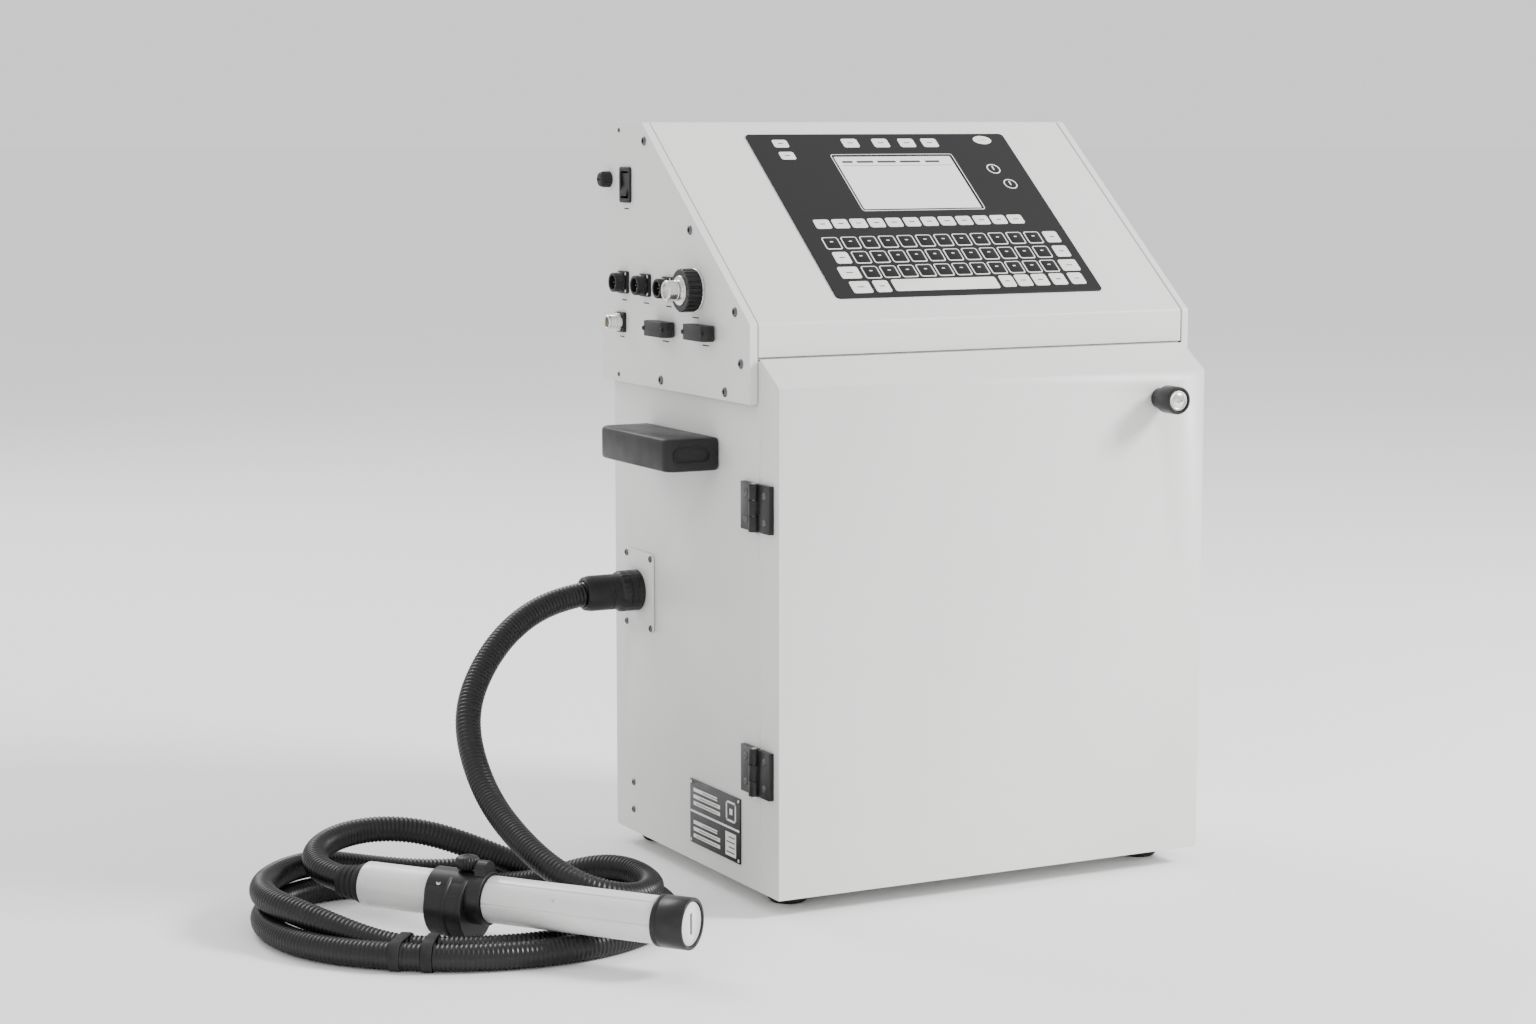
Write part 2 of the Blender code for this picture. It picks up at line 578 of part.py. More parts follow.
# ---------------------------------------------------------------- electronics
box("control_board", (-170, 60, 447), (40, 225, 449), GREEN)
psu = box("power_supply", (70, 80, 442.7), (180, 235, 492), ALU)
fan = box("fan_frame", (FAN[0] - 40, 258.0, FAN[1] - 40), (FAN[0] + 40, 278.6, FAN[1] + 40),
          BLACK)
boolean(fan, lathe("cut_fan_bore", disc(37.5, 250, 285), (FAN[0], 0, FAN[1]), (0, 1, 0), None,
                   28, cutter=True))
union_all(fan, [
    boxes_mesh("s", [((FAN[0] - 39, 258.2, FAN[1] - 2), (FAN[0] + 39, 261.0, FAN[1] + 2))]),
    lathe_mesh("f", disc(14, 257.6, 262.0), (FAN[0], 0, FAN[1]), (0, 1, 0), 16)])
rotor = lathe("fan_rotor", disc(13, 263.0, 277.0), (FAN[0], 0, FAN[1]), (0, 1, 0), BLACK, 20,
              pivot=(FAN[0], 270, FAN[1]))
blades = []
for k in range(7):
    a = 2 * math.pi * k / 7
    ca, sa = math.cos(a), math.sin(a)
    pts = []
    for r, half, y0, y1 in ((11.0, 3.0, 264.5, 275.5), (36.0, 7.5, 264.5, 275.5)):
        sec = []
        for w, y in ((-half, y0), (-half + 1.8, y0), (half, y1), (half - 1.8, y1)):
            sec.append((FAN[0] + r * ca - w * sa, y, FAN[1] + r * sa + w * ca))
        pts.append(sec)
    blades.append(loft_mesh("b", pts))
union_all(rotor, blades)

# ---------------------------------------------------------------- ink system
ink = box("ink_tank", (-182, 60, 16.4), (-72, 185, 150), TANK)
boolean(ink, lathe("add_ink_neck", disc(17, 140, 166), (-127, 110, 0), (0, 0, 1), None, 20,
                   cutter=True), "UNION")
lathe("ink_tank_cap", [(0, 168.5), (17.4, 168.5), (17.4, 152.5), (21, 152.5), (21, 172),
                       (19.5, 174), (0, 174)], (-127, 110, 0), (0, 0, 1), BLACK, 20)
sol = box("solvent_tank", (-52, 60, 16.4), (58, 185, 150), TANK)
boolean(sol, lathe("add_solvent_neck", disc(17, 140, 166), (3, 110, 0), (0, 0, 1), None, 20,
                   cutter=True), "UNION")
lathe("solvent_tank_cap", [(0, 168.5), (17.4, 168.5), (17.4, 152.5), (21, 152.5), (21, 172),
                           (19.5, 174), (0, 174)], (3, 110, 0), (0, 0, 1), WHITE, 20)
pump = box("ink_pump", (85, 80, 16.4), (165, 160, 50), ALU)
boolean(pump, joined("add_pump_motor", [
    lathe_mesh("m", disc(30, 45, 135), (125, 120, 0), (0, 0, 1), 24),
    lathe_mesh("n", disc(6, 78, 92), (0, 105, 34), (1, 0, 0), 14)]), "UNION")
valves = box("valve_block", (-150, 245, 250), (50, 270.6, 300), ALU)
boolean(valves, joined("add_solenoids", [
    lathe_mesh("v", disc(11, 200, 250), (x, 0, 275), (0, 1, 0), 16)
    for x in (-130, -90, -50, -10, 30)]), "UNION")
lathe("ink_filter", [(0, 190), (22, 190), (26, 194), (26, 300), (22, 305), (10, 305), (10, 318),
                     (0, 318)], (120, 244.3, 0), (0, 0, 1), TANK, 20)

# ---------------------------------------------------------------- umbilical hose


def coil_point(a, b, z):
    p = Vector(COIL_C) + AX_A * a + AX_B * b
    return Vector((p.x, p.y, z))


def spline(points, per):
    """Catmull-Rom curve through the points, with centripetal spacing."""
    pts = [Vector(p) for p in points]
    pts = [2 * pts[0] - pts[1]] + pts + [2 * pts[-1] - pts[-2]]
    out = []
    for p0, p1, p2, p3 in zip(pts, pts[1:], pts[2:], pts[3:]):
        t0 = 0.0
        t1 = t0 + max((p1 - p0).length, 1e-6) ** 0.5
        t2 = t1 + max((p2 - p1).length, 1e-6) ** 0.5
        t3 = t2 + max((p3 - p2).length, 1e-6) ** 0.5
        for k in range(per):
            t = t1 + (t2 - t1) * k / per
            a1 = p0 * ((t1 - t) / (t1 - t0)) + p1 * ((t - t0) / (t1 - t0))
            a2 = p1 * ((t2 - t) / (t2 - t1)) + p2 * ((t - t1) / (t2 - t1))
            a3 = p2 * ((t3 - t) / (t3 - t2)) + p3 * ((t - t2) / (t3 - t2))
            b1 = a1 * ((t2 - t) / (t2 - t0)) + a2 * ((t - t0) / (t2 - t0))
            b2 = a2 * ((t3 - t) / (t3 - t1)) + a3 * ((t - t1) / (t3 - t1))
            out.append(b1 * ((t2 - t) / (t2 - t1)) + b2 * ((t - t1) / (t2 - t1)))
    out.append(pts[-2])
    return out


def respaced(points, step):
    """The same line with points about step apart."""
    acc = [0.0]
    for a, b in zip(points, points[1:]):
        acc.append(acc[-1] + (b - a).length)
    n = max(2, round(acc[-1] / step))
    out, i = [], 0
    for k in range(n + 1):
        s = acc[-1] * k / n
        while i < len(acc) - 2 and acc[i + 1] < s:
            i += 1
        f = (s - acc[i]) / max(acc[i + 1] - acc[i], 1e-9)
        out.append(points[i].lerp(points[i + 1], min(max(f, 0), 1)))
    return out


def hose_tube(name, points):
    cu = bpy.data.curves.new(name, "CURVE")
    cu.dimensions = "3D"
    cu.bevel_depth, cu.bevel_resolution, cu.use_fill_caps = HOSE_D / 2 * MM, 3, True
    sp = cu.splines.new("POLY")
    sp.points.add(len(points) - 1)
    for q, p in zip(sp.points, points):
        q.co = (*(p * MM), 1)
    cu.materials.append(HOSE)
    obj = bpy.data.objects.new(name, cu)
    bpy.context.scene.collection.objects.link(obj)
    obj.parent = FRAME
    return obj


# from the gland out to the left, down and forward, and onto the coil's right side
RISER = [
    (-253.3, 224, 228.5), (-275, 223.5, 227.5), (-307, 216, 217.5), (-340, 201, 199),
    (-366, 183, 175), (-386, 163, 151), (-392, 143, 128.5), (-391.5, 124, 107),
    tuple(coil_point(13, 50, 90)), tuple(coil_point(30, 22, 75.5)),
    tuple(coil_point(47, -5, 64.5)), tuple(coil_point(65, -29, 54.5)),
    tuple(coil_point(82, -46, 47)), tuple(coil_point(100, -54, 41)),
    tuple(coil_point(118, -53, 36.5)), tuple(coil_point(134, -41, 34)),
    tuple(coil_point(144.5, -22, 32.8)), tuple(coil_point(147, 2, 32.4)),
    tuple(coil_point(143, 25, 32.4)), tuple(coil_point(130, 46, 32.4)),
]
hose_tube("hose_riser", respaced(spline(RISER, 8), 18.0))

# coil: the outer shape of the turns that lie side by side
bm = bmesh.new()
SEG = 44
rings = []


def inner_offset(deg):
    """How far the coil's inner edge lies from its outer edge, by angle: two turns side by
    side, and three where the last of them starts and ends."""
    two, three = 2 * PITCH, 3 * PITCH
    d = deg % 360
    if 20 <= d < 55:
        f = (d - 20) / 35
    elif 55 <= d < 105:
        f = 1.0
    elif 105 <= d < 150:
        f = (150 - d) / 45
    else:
        f = 0.0
    f = f * f * (3 - 2 * f)
    return two + (three - two) * f


for k in range(SEG):
    deg = 360 * k / SEG
    t = math.radians(deg)
    w = inner_offset(deg)
    sec = []
    for off, z in ((w, 6.5), (w - 4.5, 0.6), (4.5, 0.6), (0, 6.5), (0, 15.0), (4.5, 21.2),
                   (w - 4.5, 21.2), (w, 15.0)):
        sec.append(bm.verts.new(coil_point((COIL_A - off) * math.cos(t),
                                           (COIL_B - off) * math.sin(t), z)))
    rings.append(sec)
for k in range(SEG):
    a, b = rings[k], rings[(k + 1) % SEG]
    for i in range(8):
        j = (i + 1) % 8
        bm.faces.new((a[i], a[j], b[j], b[i]))
link("hose_coil", finish_bm(bm, "hose_coil"), HOSE, (*COIL_C, 10), 40)

# from the coil's back, up and round in one arch, into the head's boot
BEND_C, BEND_R = (-69.9, 36.1), 58.0
TAIL = [
    tuple(coil_point(24, 105, 32.4)), tuple(coil_point(9, 106, 33.2)),
    tuple(coil_point(-5, 105, 37.0)), tuple(coil_point(-18, 102.5, 43.0)),
    tuple(coil_point(-35, 98.5, 50.3)), tuple(coil_point(-52, 95.5, 55.0)),
    *(tuple(coil_point(BEND_C[0] + BEND_R * math.cos(math.radians(a)),
                       BEND_C[1] + BEND_R * math.sin(math.radians(a)), z))
      for a, z in ((90, 56.5), (112, 56.5), (135, 54.5), (157, 51), (180, 47.5), (202, 44),
                   (224, 41))),
    tuple(HEAD_O - HEAD_U * 9), tuple(HEAD_O - HEAD_U * 0.9),
]
hose_tube("hose_tail", respaced(spline(TAIL, 8), 8.5))

# ---------------------------------------------------------------- print head
lathe("head_boot", [(0, 0), (12.2, 0), (13.6, 1.5), (13.6, 13.0), (15.6, 15.0), (15.6, 22.9),
                    (0, 22.9)], HEAD_O, HEAD_U, BLACK, 24)
lathe("head_body", [(0, 23.2), (16.8, 23.2), (17.5, 24.0), (17.5, 85.4), (16.3, 85.4),
                    (16.3, 133.8), (14.8, 133.8), (14.8, 148), (8, 148), (8, 149.7),
                    (0, 149.7)], HEAD_O, HEAD_U, WHITE, 28)
clamp = lathe("head_clamp", [(0, 85.8), (20.0, 85.8), (20.5, 86.3), (20.5, 133.1),
                             (20.0, 133.6), (0, 133.6)], HEAD_O, HEAD_U, BLACK, 28)
KNOB = HEAD_O + HEAD_U * 113


def head_box(name, u0, u1, v0, v1, z0, z1):
    """Box in the head's axes: u along it, v to its left, z up from its axis."""
    V = Vector((-HEAD_U.y, HEAD_U.x, 0))
    bmx = bmesh.new()
    vs = [bmx.verts.new(HEAD_O + HEAD_U * u + V * v + Vector((0, 0, z)))
          for u in (u0, u1) for v in (v0, v1) for z in (z0, z1)]
    for f in ((0, 1, 3, 2), (4, 6, 7, 5), (0, 4, 5, 1), (2, 3, 7, 6), (0, 2, 6, 4), (1, 5, 7, 3)):
        bmx.faces.new([vs[i] for i in f])
    return finish_bm(bmx, name)


LOW = HEAD_O + Vector((0, 0, -7.5))
boolean(clamp, lathe("add_clamp_saddle", disc(25, 87.5, 106), LOW, HEAD_U, None, 28, cutter=True),
        "UNION")
boolean(clamp, lathe("add_clamp_strap", disc(27, 104, 121), LOW, HEAD_U, None, 28, cutter=True),
        "UNION")
boolean(clamp, joined("add_clamp_lug", [head_box("e", 123.6, 132.4, -8, 8, 14, 29.5)]), "UNION")
boolean(clamp, lathe("cut_clamp_bore", disc(16.6, 80, 140), HEAD_O, HEAD_U, None, 28,
                     cutter=True))
kp = [(0, 20.9), (3.0, 20.9), (3.0, 21.8), (8.3, 21.8), (9.5, 23.4), (9.5, 29.4), (8.0, 31.2),
      (4.0, 31.8), (0, 31.8)]
lathe("clamp_knob", kp, KNOB, (0, 0, 1), BLACK, 18)
lathe("head_cover_tube", [(15.2, 134.2), (18.0, 134.2), (18.0, 288.0), (15.2, 288.0)],
      HEAD_O, HEAD_U, WHITE, 32)
nose = lathe("head_nose_cap", [
    (0, 298.5), (14.6, 298.5), (14.6, 288.3), (18.3, 288.3), (18.3, 278.0), (19.4, 278.0),
    (19.9, 278.6), (19.9, 302.8), (18.9, 304.5), (14.0, 304.5), (12.6, 302.3), (0, 302.3)],
             HEAD_O, HEAD_U, BLACK, 32)
boolean(nose, joined("cut_jet_slot", [head_box("s", 290, 312, -2.2, 2.2, -9, 9)]))
nb = joined("nozzle_block", [head_box("n", 150.0, 232, -9, 9, -9, -4)], cutter=False,
            mat=ALU, origin=HEAD_O + HEAD_U * 190)
union_all(nb, [
    lathe_mesh("g", disc(7, 151, 182), HEAD_O, HEAD_U, 18),
    lathe_mesh("g2", disc(3, 181, 188), HEAD_O, HEAD_U, 12),
    head_box("c", 192, 200, -6, 6, -6, 6),
    head_box("d1", 204, 224, 3.2, 4.6, -6, 9),
    head_box("d2", 204, 224, -4.6, -3.2, -6, 9),
    head_box("gut", 227, 231, -2, 2, -6, 5)])
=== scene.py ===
"""Looks for the inkjet coder: fine surfaces, materials, floor, light and camera on the fixed frame.

Lengths are in millimetres in the cabinet's own frame, as in the CAD source, and are put into
the row frame (metres) by at() and put().
"""

import math

import bmesh
import bpy
import numpy as np
from mathutils import Matrix, Vector


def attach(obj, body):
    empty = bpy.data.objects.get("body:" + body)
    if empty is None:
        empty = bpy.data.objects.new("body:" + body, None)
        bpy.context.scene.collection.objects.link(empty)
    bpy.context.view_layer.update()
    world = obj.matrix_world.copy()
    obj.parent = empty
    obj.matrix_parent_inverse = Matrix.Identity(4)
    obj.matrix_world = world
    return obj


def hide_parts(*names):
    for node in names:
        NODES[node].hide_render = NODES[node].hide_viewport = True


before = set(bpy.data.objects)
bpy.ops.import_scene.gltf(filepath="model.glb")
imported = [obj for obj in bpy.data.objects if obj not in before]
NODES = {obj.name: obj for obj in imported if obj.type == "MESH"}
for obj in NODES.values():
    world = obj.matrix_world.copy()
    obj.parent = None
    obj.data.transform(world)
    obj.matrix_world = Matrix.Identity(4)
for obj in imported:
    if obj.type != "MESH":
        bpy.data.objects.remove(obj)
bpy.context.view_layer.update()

MM = 0.001
OX, OY = 139.393, -61.495
HALF_W, DEPTH, BASE_Z = 200.0, 273.0, 14.0
DOOR_T = 33.0
CON_W, CON_BACK, CON_BOTTOM, CON_TOP = 207.5, 281.0, 406.0, 625.0
TOP_FRONT_Y, LIP_Y, LIP_TOP, LIP_BOTTOM = 199.4, 2.0, 469.0, 442.6
HINGE_X, HINGE_Y = -204.9, 0.0
GLAND_Y, GLAND_Z = 224.0, 228.5
COIL_C = (-425.0, 67.0)
AX_A, AX_B = Vector((0.890, -0.4556)), Vector((0.4556, 0.890))
COIL_A, COIL_B = 171.0, 144.0
HEAD_O = Vector((-516.5, 95.0, 40.0))
HEAD_U = Vector((0.6090, -0.7932, 0.0)).normalized()
HEAD_V = Vector((-HEAD_U.y, HEAD_U.x, 0))


def at(p):
    """Cabinet millimetres to row metres."""
    return Vector(((p[0] + OX) * MM, (p[1] + OY) * MM, p[2] * MM))


# ------------------------------------------------------------------ camera
cam_data = bpy.data.cameras.new("photo_camera")
cam = bpy.data.objects.new("photo_camera", cam_data)
bpy.context.scene.collection.objects.link(cam)
cam_data.sensor_width = 36.0
cam_data.lens = 71.09
cam_data.clip_start, cam_data.clip_end = 0.05, 60
cam.location = at((-1284.03, -2103.82, 629.96))
cam.rotation_euler = (math.radians(90 - 7.4295), 0, math.radians(-27.4192))
bpy.context.scene.camera = cam


# ------------------------------------------------------------------ materials
class Nodes:
    """Small helper round a material's node tree."""

    def __init__(self, name):
        self.mat = bpy.data.materials.new(name)
        self.mat.use_nodes = True
        self.t = self.mat.node_tree
        self.b = self.t.nodes["Principled BSDF"]
        self.coord = self.t.nodes.new("ShaderNodeTexCoord").outputs["Object"]

    def set(self, **sockets):
        for k, v in sockets.items():
            self.b.inputs[k.replace("_", " ")].default_value = v
        return self

    def link(self, a, b):
        self.t.links.new(a, b)

    def noise(self, scale, detail=2.0, rough=0.5, vector=None, stretch=None):
        n = self.t.nodes.new("ShaderNodeTexNoise")
        n.inputs["Scale"].default_value = scale
        n.inputs["Detail"].default_value = detail
        n.inputs["Roughness"].default_value = rough
        v = vector or self.coord
        if stretch:
            m = self.t.nodes.new("ShaderNodeMapping")
            m.inputs["Scale"].default_value = stretch
            self.link(v, m.inputs["Vector"])
            v = m.outputs["Vector"]
        self.link(v, n.inputs["Vector"])
        return n.outputs["Fac"]

    def voronoi(self, scale, feature="F1", stretch=None):
        n = self.t.nodes.new("ShaderNodeTexVoronoi")
        n.feature = feature
        n.inputs["Scale"].default_value = scale
        v = self.coord
        if stretch:
            m = self.t.nodes.new("ShaderNodeMapping")
            m.inputs["Scale"].default_value = stretch
            self.link(v, m.inputs["Vector"])
            v = m.outputs["Vector"]
        self.link(v, n.inputs["Vector"])
        return n.outputs["Distance"]

    def ramp(self, fac, stops):
        r = self.t.nodes.new("ShaderNodeValToRGB")
        e = r.color_ramp.elements
        while len(e) < len(stops):
            e.new(0.5)
        for el, (pos, col) in zip(e, stops):
            el.position = pos
            el.color = (*col, 1) if len(col) == 3 else col
        self.link(fac, r.inputs["Fac"])
        return r.outputs["Color"]

    def range(self, fac, a, b, c, d):
        m = self.t.nodes.new("ShaderNodeMapRange")
        for k, v in zip(("From Min", "From Max", "To Min", "To Max"), (a, b, c, d)):
            m.inputs[k].default_value = v
        self.link(fac, m.inputs["Value"])
        return m.outputs["Result"]

    def math(self, op, a, b):
        m = self.t.nodes.new("ShaderNodeMath")
        m.operation = op
        for i, v in enumerate((a, b)):
            if isinstance(v, (int, float)):
                m.inputs[i].default_value = v
            else:
                self.link(v, m.inputs[i])
        return m.outputs[0]

    def mix(self, fac, a, b):
        m = self.t.nodes.new("ShaderNodeMix")
        m.data_type = "RGBA"
        if isinstance(fac, (int, float)):
            m.inputs["Factor"].default_value = fac
        else:
            self.link(fac, m.inputs["Factor"])
        for key, v in (("A", a), ("B", b)):
            sock = [s for s in m.inputs if s.name == key and s.type == "RGBA"][0]
            if isinstance(v, tuple):
                sock.default_value = (*v, 1)
            else:
                self.link(v, sock)
        return [s for s in m.outputs if s.type == "RGBA"][0]

    def bump(self, height, distance, strength=1.0, normal=None):
        n = self.t.nodes.new("ShaderNodeBump")
        n.inputs["Distance"].default_value = distance
        n.inputs["Strength"].default_value = strength
        self.link(height, n.inputs["Height"])
        if normal is not None:
            self.link(normal, n.inputs["Normal"])
        return n.outputs["Normal"]

    def colour(self, out):
        self.link(out, self.b.inputs["Base Color"])

    def rough(self, out):
        self.link(out, self.b.inputs["Roughness"])

    def normal(self, out):
        self.link(out, self.b.inputs["Normal"])

    def height_z(self):
        s = self.t.nodes.new("ShaderNodeSeparateXYZ")
        self.link(self.coord, s.inputs[0])
        return s.outputs["Z"]


def powder(name, tone=(0.76, 0.76, 0.745), gloss=0.42):
    """Fine-texture powder coat: orange peel, faint mottling and a little dust low down."""
    n = Nodes(name).set(Specular_IOR_Level=0.45)
    mottle = n.noise(7.0, 3)
    dirt = n.math("MULTIPLY", n.range(n.height_z(), 0.012, 0.16, 1.0, 0.0), n.noise(38, 5, 0.65))
    clean = n.ramp(mottle, [(0.3, tuple(c * 0.975 for c in tone)), (0.7, tone)])
    n.colour(n.mix(n.math("MULTIPLY", dirt, 0.22), clean, (0.52, 0.50, 0.46)))
    n.rough(n.range(n.noise(22, 3), 0.3, 0.7, gloss - 0.05, gloss + 0.07))
    peel = n.noise(900, 2, 0.55)
    grain = n.noise(3600, 1, 0.5)
    n.normal(n.bump(peel, 0.00005, 0.55, n.bump(grain, 0.00002, 0.5)))
    return n.mat


def moulded(name, tone=(0.008, 0.008, 0.009), rough=0.42, grain=2600, depth=0.00005, dust=0.10):
    """Moulded plastic with a spark-eroded grain, slight shine changes and fine scuffs."""
    n = Nodes(name).set(Specular_IOR_Level=0.34)
    scuff = n.range(n.noise(160, 6, 0.72, stretch=(1, 1, 3.5)), 0.58, 0.74, 0.0, 1.0)
    lift = tuple(min(1, c + 0.055) for c in tone)
    n.colour(n.mix(n.math("MULTIPLY", scuff, dust * 3),
                   n.ramp(n.noise(14, 3), [(0.3, tone), (0.75, tuple(c * 1.5 for c in tone))]),
                   lift))
    n.rough(n.math("ADD", n.range(n.noise(45, 3), 0.3, 0.7, rough - 0.06, rough + 0.08),
                   n.math("MULTIPLY", scuff, 0.12)))
    n.normal(n.bump(n.noise(grain, 2, 0.6), depth, 0.7))
    return n.mat


def metal(name, tone=(0.62, 0.62, 0.61), rough=0.3, stretch=(1, 1, 1), grain=900, aniso=0.0):
    n = Nodes(name).set(Metallic=1.0, Anisotropic=aniso)
    n.colour(n.ramp(n.noise(30, 4, 0.6), [(0.3, tuple(c * 0.88 for c in tone)), (0.7, tone)]))
    lines = n.noise(grain, 3, 0.6, stretch=stretch)
    n.rough(n.range(lines, 0.3, 0.7, rough - 0.07, rough + 0.09))
    n.normal(n.bump(lines, 0.00003, 0.35))
    return n.mat


def satin_tube(name):
    """Satin light enamel on the head's tubes, with faint lengthwise handling marks."""
    n = Nodes(name).set(Coat_Weight=0.25, Coat_Roughness=0.22)
    marks = n.range(n.noise(420, 5, 0.7), 0.62, 0.78, 0, 1)
    n.colour(n.mix(n.math("MULTIPLY", marks, 0.12),
                   n.ramp(n.noise(16, 3), [(0.3, (0.70, 0.70, 0.69)), (0.7, (0.76, 0.76, 0.75))]),
                   (0.55, 0.55, 0.54)))
    n.rough(n.range(n.noise(60, 3), 0.3, 0.7, 0.26, 0.36))
    n.normal(n.bump(n.noise(1400, 2), 0.00003, 0.4))
    return n.mat


def rubber(name):
    n = Nodes(name).set(Specular_IOR_Level=0.3)
    n.colour(n.ramp(n.noise(60, 5, 0.6), [(0.3, (0.012, 0.012, 0.012)), (0.8, (0.035, 0.034, 0.033))]))
    n.rough(n.range(n.noise(90, 3), 0.3, 0.7, 0.68, 0.86))
    n.normal(n.bump(n.noise(1600, 4, 0.7), 0.00008, 0.6))
    return n.mat


def conduit(name):
    """Ribbed nylon conduit: dark, a little shiny, dusty between marks."""
    n = Nodes(name).set(Specular_IOR_Level=0.4)
    dust = n.range(n.noise(75, 5, 0.7), 0.5, 0.8, 0.0, 1.0)
    n.colour(n.mix(n.math("MULTIPLY", dust, 0.25), (0.005, 0.005, 0.0055), (0.03, 0.03, 0.029)))
    n.rough(n.range(n.noise(30, 3), 0.3, 0.7, 0.30, 0.46))
    n.normal(n.bump(n.noise(2200, 2), 0.00003, 0.5))
    return n.mat


def foil(name, tone, rough=0.36, grain=3200):
    n = Nodes(name).set(Coat_Weight=0.05, Coat_Roughness=0.3, Specular_IOR_Level=0.22)
    n.colour(n.ramp(n.noise(18, 3), [(0.3, tuple(c * 0.93 for c in tone)), (0.7, tone)]))
    n.rough(n.range(n.noise(26, 4), 0.3, 0.7, rough - 0.05, rough + 0.08))
    n.normal(n.bump(n.noise(grain, 1), 0.00002, 0.5))
    return n.mat


def display(name):
    """Pale reflective display: a fine cell grid under a glossy window."""
    n = Nodes(name).set(Coat_Weight=1.0, Coat_Roughness=0.04)
    grid = n.voronoi(1900, "F1")
    n.colour(n.mix(n.range(grid, 0.0, 0.6, 0.0, 0.08),
                   n.ramp(n.noise(9, 2), [(0.3, (0.80, 0.83, 0.79)), (0.7, (0.86, 0.88, 0.85))]),
                   (0.70, 0.73, 0.69)))
    n.rough(n.range(n.noise(40, 2), 0.3, 0.7, 0.30, 0.38))
    n.normal(n.bump(n.noise(30, 1), 0.00002, 0.3))
    return n.mat


def board(name):
    """Circuit board: solder mask with tracks and pads."""
    n = Nodes(name).set(Coat_Weight=0.5, Coat_Roughness=0.2)
    br = n.t.nodes.new("ShaderNodeTexBrick")
    br.inputs["Scale"].default_value = 110
    br.inputs["Mortar Size"].default_value = 0.012
    br.inputs["Color1"].default_value = (0.012, 0.10, 0.035, 1)
    br.inputs["Color2"].default_value = (0.015, 0.13, 0.045, 1)
    br.inputs["Mortar"].default_value = (0.05, 0.30, 0.10, 1)
    n.link(n.coord, br.inputs["Vector"])
    pads = n.range(n.voronoi(260), 0.10, 0.14, 1, 0)
    n.colour(n.mix(pads, br.outputs["Color"], (0.62, 0.55, 0.32)))
    n.rough(n.range(n.noise(80, 3), 0.3, 0.7, 0.3, 0.5))
    n.normal(n.bump(br.outputs["Fac"], 0.00005, 0.4))
    return n.mat


def polymer(name, low, high, level):
    """Milky bottle with its fluid showing through up to a level."""
    n = Nodes(name).set(Subsurface_Weight=0.25, Subsurface_Scale=0.01, Specular_IOR_Level=0.5)
    wob = n.math("ADD", n.height_z(), n.math("MULTIPLY", n.noise(60, 2), 0.0012))
    n.colour(n.mix(n.range(wob, level - 0.003, level + 0.003, 0, 1), low, high))
    n.rough(n.range(n.noise(30, 3), 0.3, 0.7, 0.32, 0.46))
    n.normal(n.bump(n.noise(300, 3), 0.0001, 0.3))
    return n.mat


def floor_paper(name):
    n = Nodes(name).set(Specular_IOR_Level=0.2)
    n.colour(n.ramp(n.noise(3, 4), [(0.3, (0.955, 0.955, 0.955)), (0.7, (0.965, 0.965, 0.965))]))
    n.rough(n.range(n.noise(20, 2), 0.3, 0.7, 0.75, 0.85))
    return n.mat


WHITE = powder("powder_white")
WHITE_IN = powder("powder_white_inside", (0.80, 0.80, 0.79), 0.5)
TUBE = satin_tube("satin_enamel")
BLACK = moulded("plastic_black")
BLACK_FINE = moulded("plastic_black_fine", (0.007, 0.007, 0.008), 0.34, 3600, 0.00003, 0.06)
BLACK_METAL = moulded("black_coated_metal", (0.009, 0.009, 0.01), 0.36, 1800, 0.00004, 0.14)
RUBBER = rubber("rubber_black")
CONDUIT = conduit("conduit_black")
STEEL = metal("steel_zinc", (0.70, 0.70, 0.69), 0.30)
DARK_STEEL = metal("steel_blackened", (0.15, 0.15, 0.155), 0.34)
NICKEL = metal("nickel_satin", (0.80, 0.79, 0.76), 0.24)
ALU = metal("aluminium_milled", (0.70, 0.71, 0.72), 0.36, (1, 18, 1), 260)
BRASS = metal("brass_contact", (0.80, 0.62, 0.30), 0.26)
FOIL = foil("keypad_foil_dark", (0.010, 0.010, 0.011))
FOIL_KEY = foil("keypad_key_dark", (0.007, 0.007, 0.008), 0.28)
PRINT = foil("keypad_print_pale", (0.82, 0.82, 0.80), 0.42)
INKED = foil("printed_dark_mark", (0.03, 0.03, 0.032), 0.5)
LCD = display("display_pale")
LCD_DARK = foil("display_segments", (0.05, 0.06, 0.07), 0.3)
BOARD = board("circuit_board_green")
TANK_INK = polymer("tank_ink", (0.035, 0.035, 0.05), (0.66, 0.66, 0.62), 0.098)
TANK_CLEAR = polymer("tank_solvent", (0.58, 0.62, 0.60), (0.72, 0.73, 0.69), 0.116)
FLOOR = floor_paper("floor_pale")


# ------------------------------------------------------------------ mesh helpers
def finish_bm(bm, name):
    bmesh.ops.recalc_face_normals(bm, faces=bm.faces)
    mesh = bpy.data.meshes.new(name)
    bm.to_mesh(mesh)
    bm.free()
    return mesh


def put(name, mesh, mat, body="printer", bevel=0.0, segs=3, smooth=32, angle=28, repl=(),
        slot=None):
    """A piece from a mesh in cabinet millimetres, riding on a body."""
    mesh.transform(Matrix.Translation(Vector((OX, OY, 0)) * MM) @ Matrix.Scale(MM, 4))
    mesh.materials.append(mat)
    mesh.shade_smooth()
    if not bevel and smooth is not None:
        mesh.set_sharp_from_angle(angle=math.radians(smooth))
    obj = bpy.data.objects.new(name, mesh)
    bpy.context.scene.collection.objects.link(obj)
    if bevel:
        add_bevel(obj, bevel, segs, angle)
    if body:
        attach(obj, body)
    if repl:
        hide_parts(*repl)
    return obj


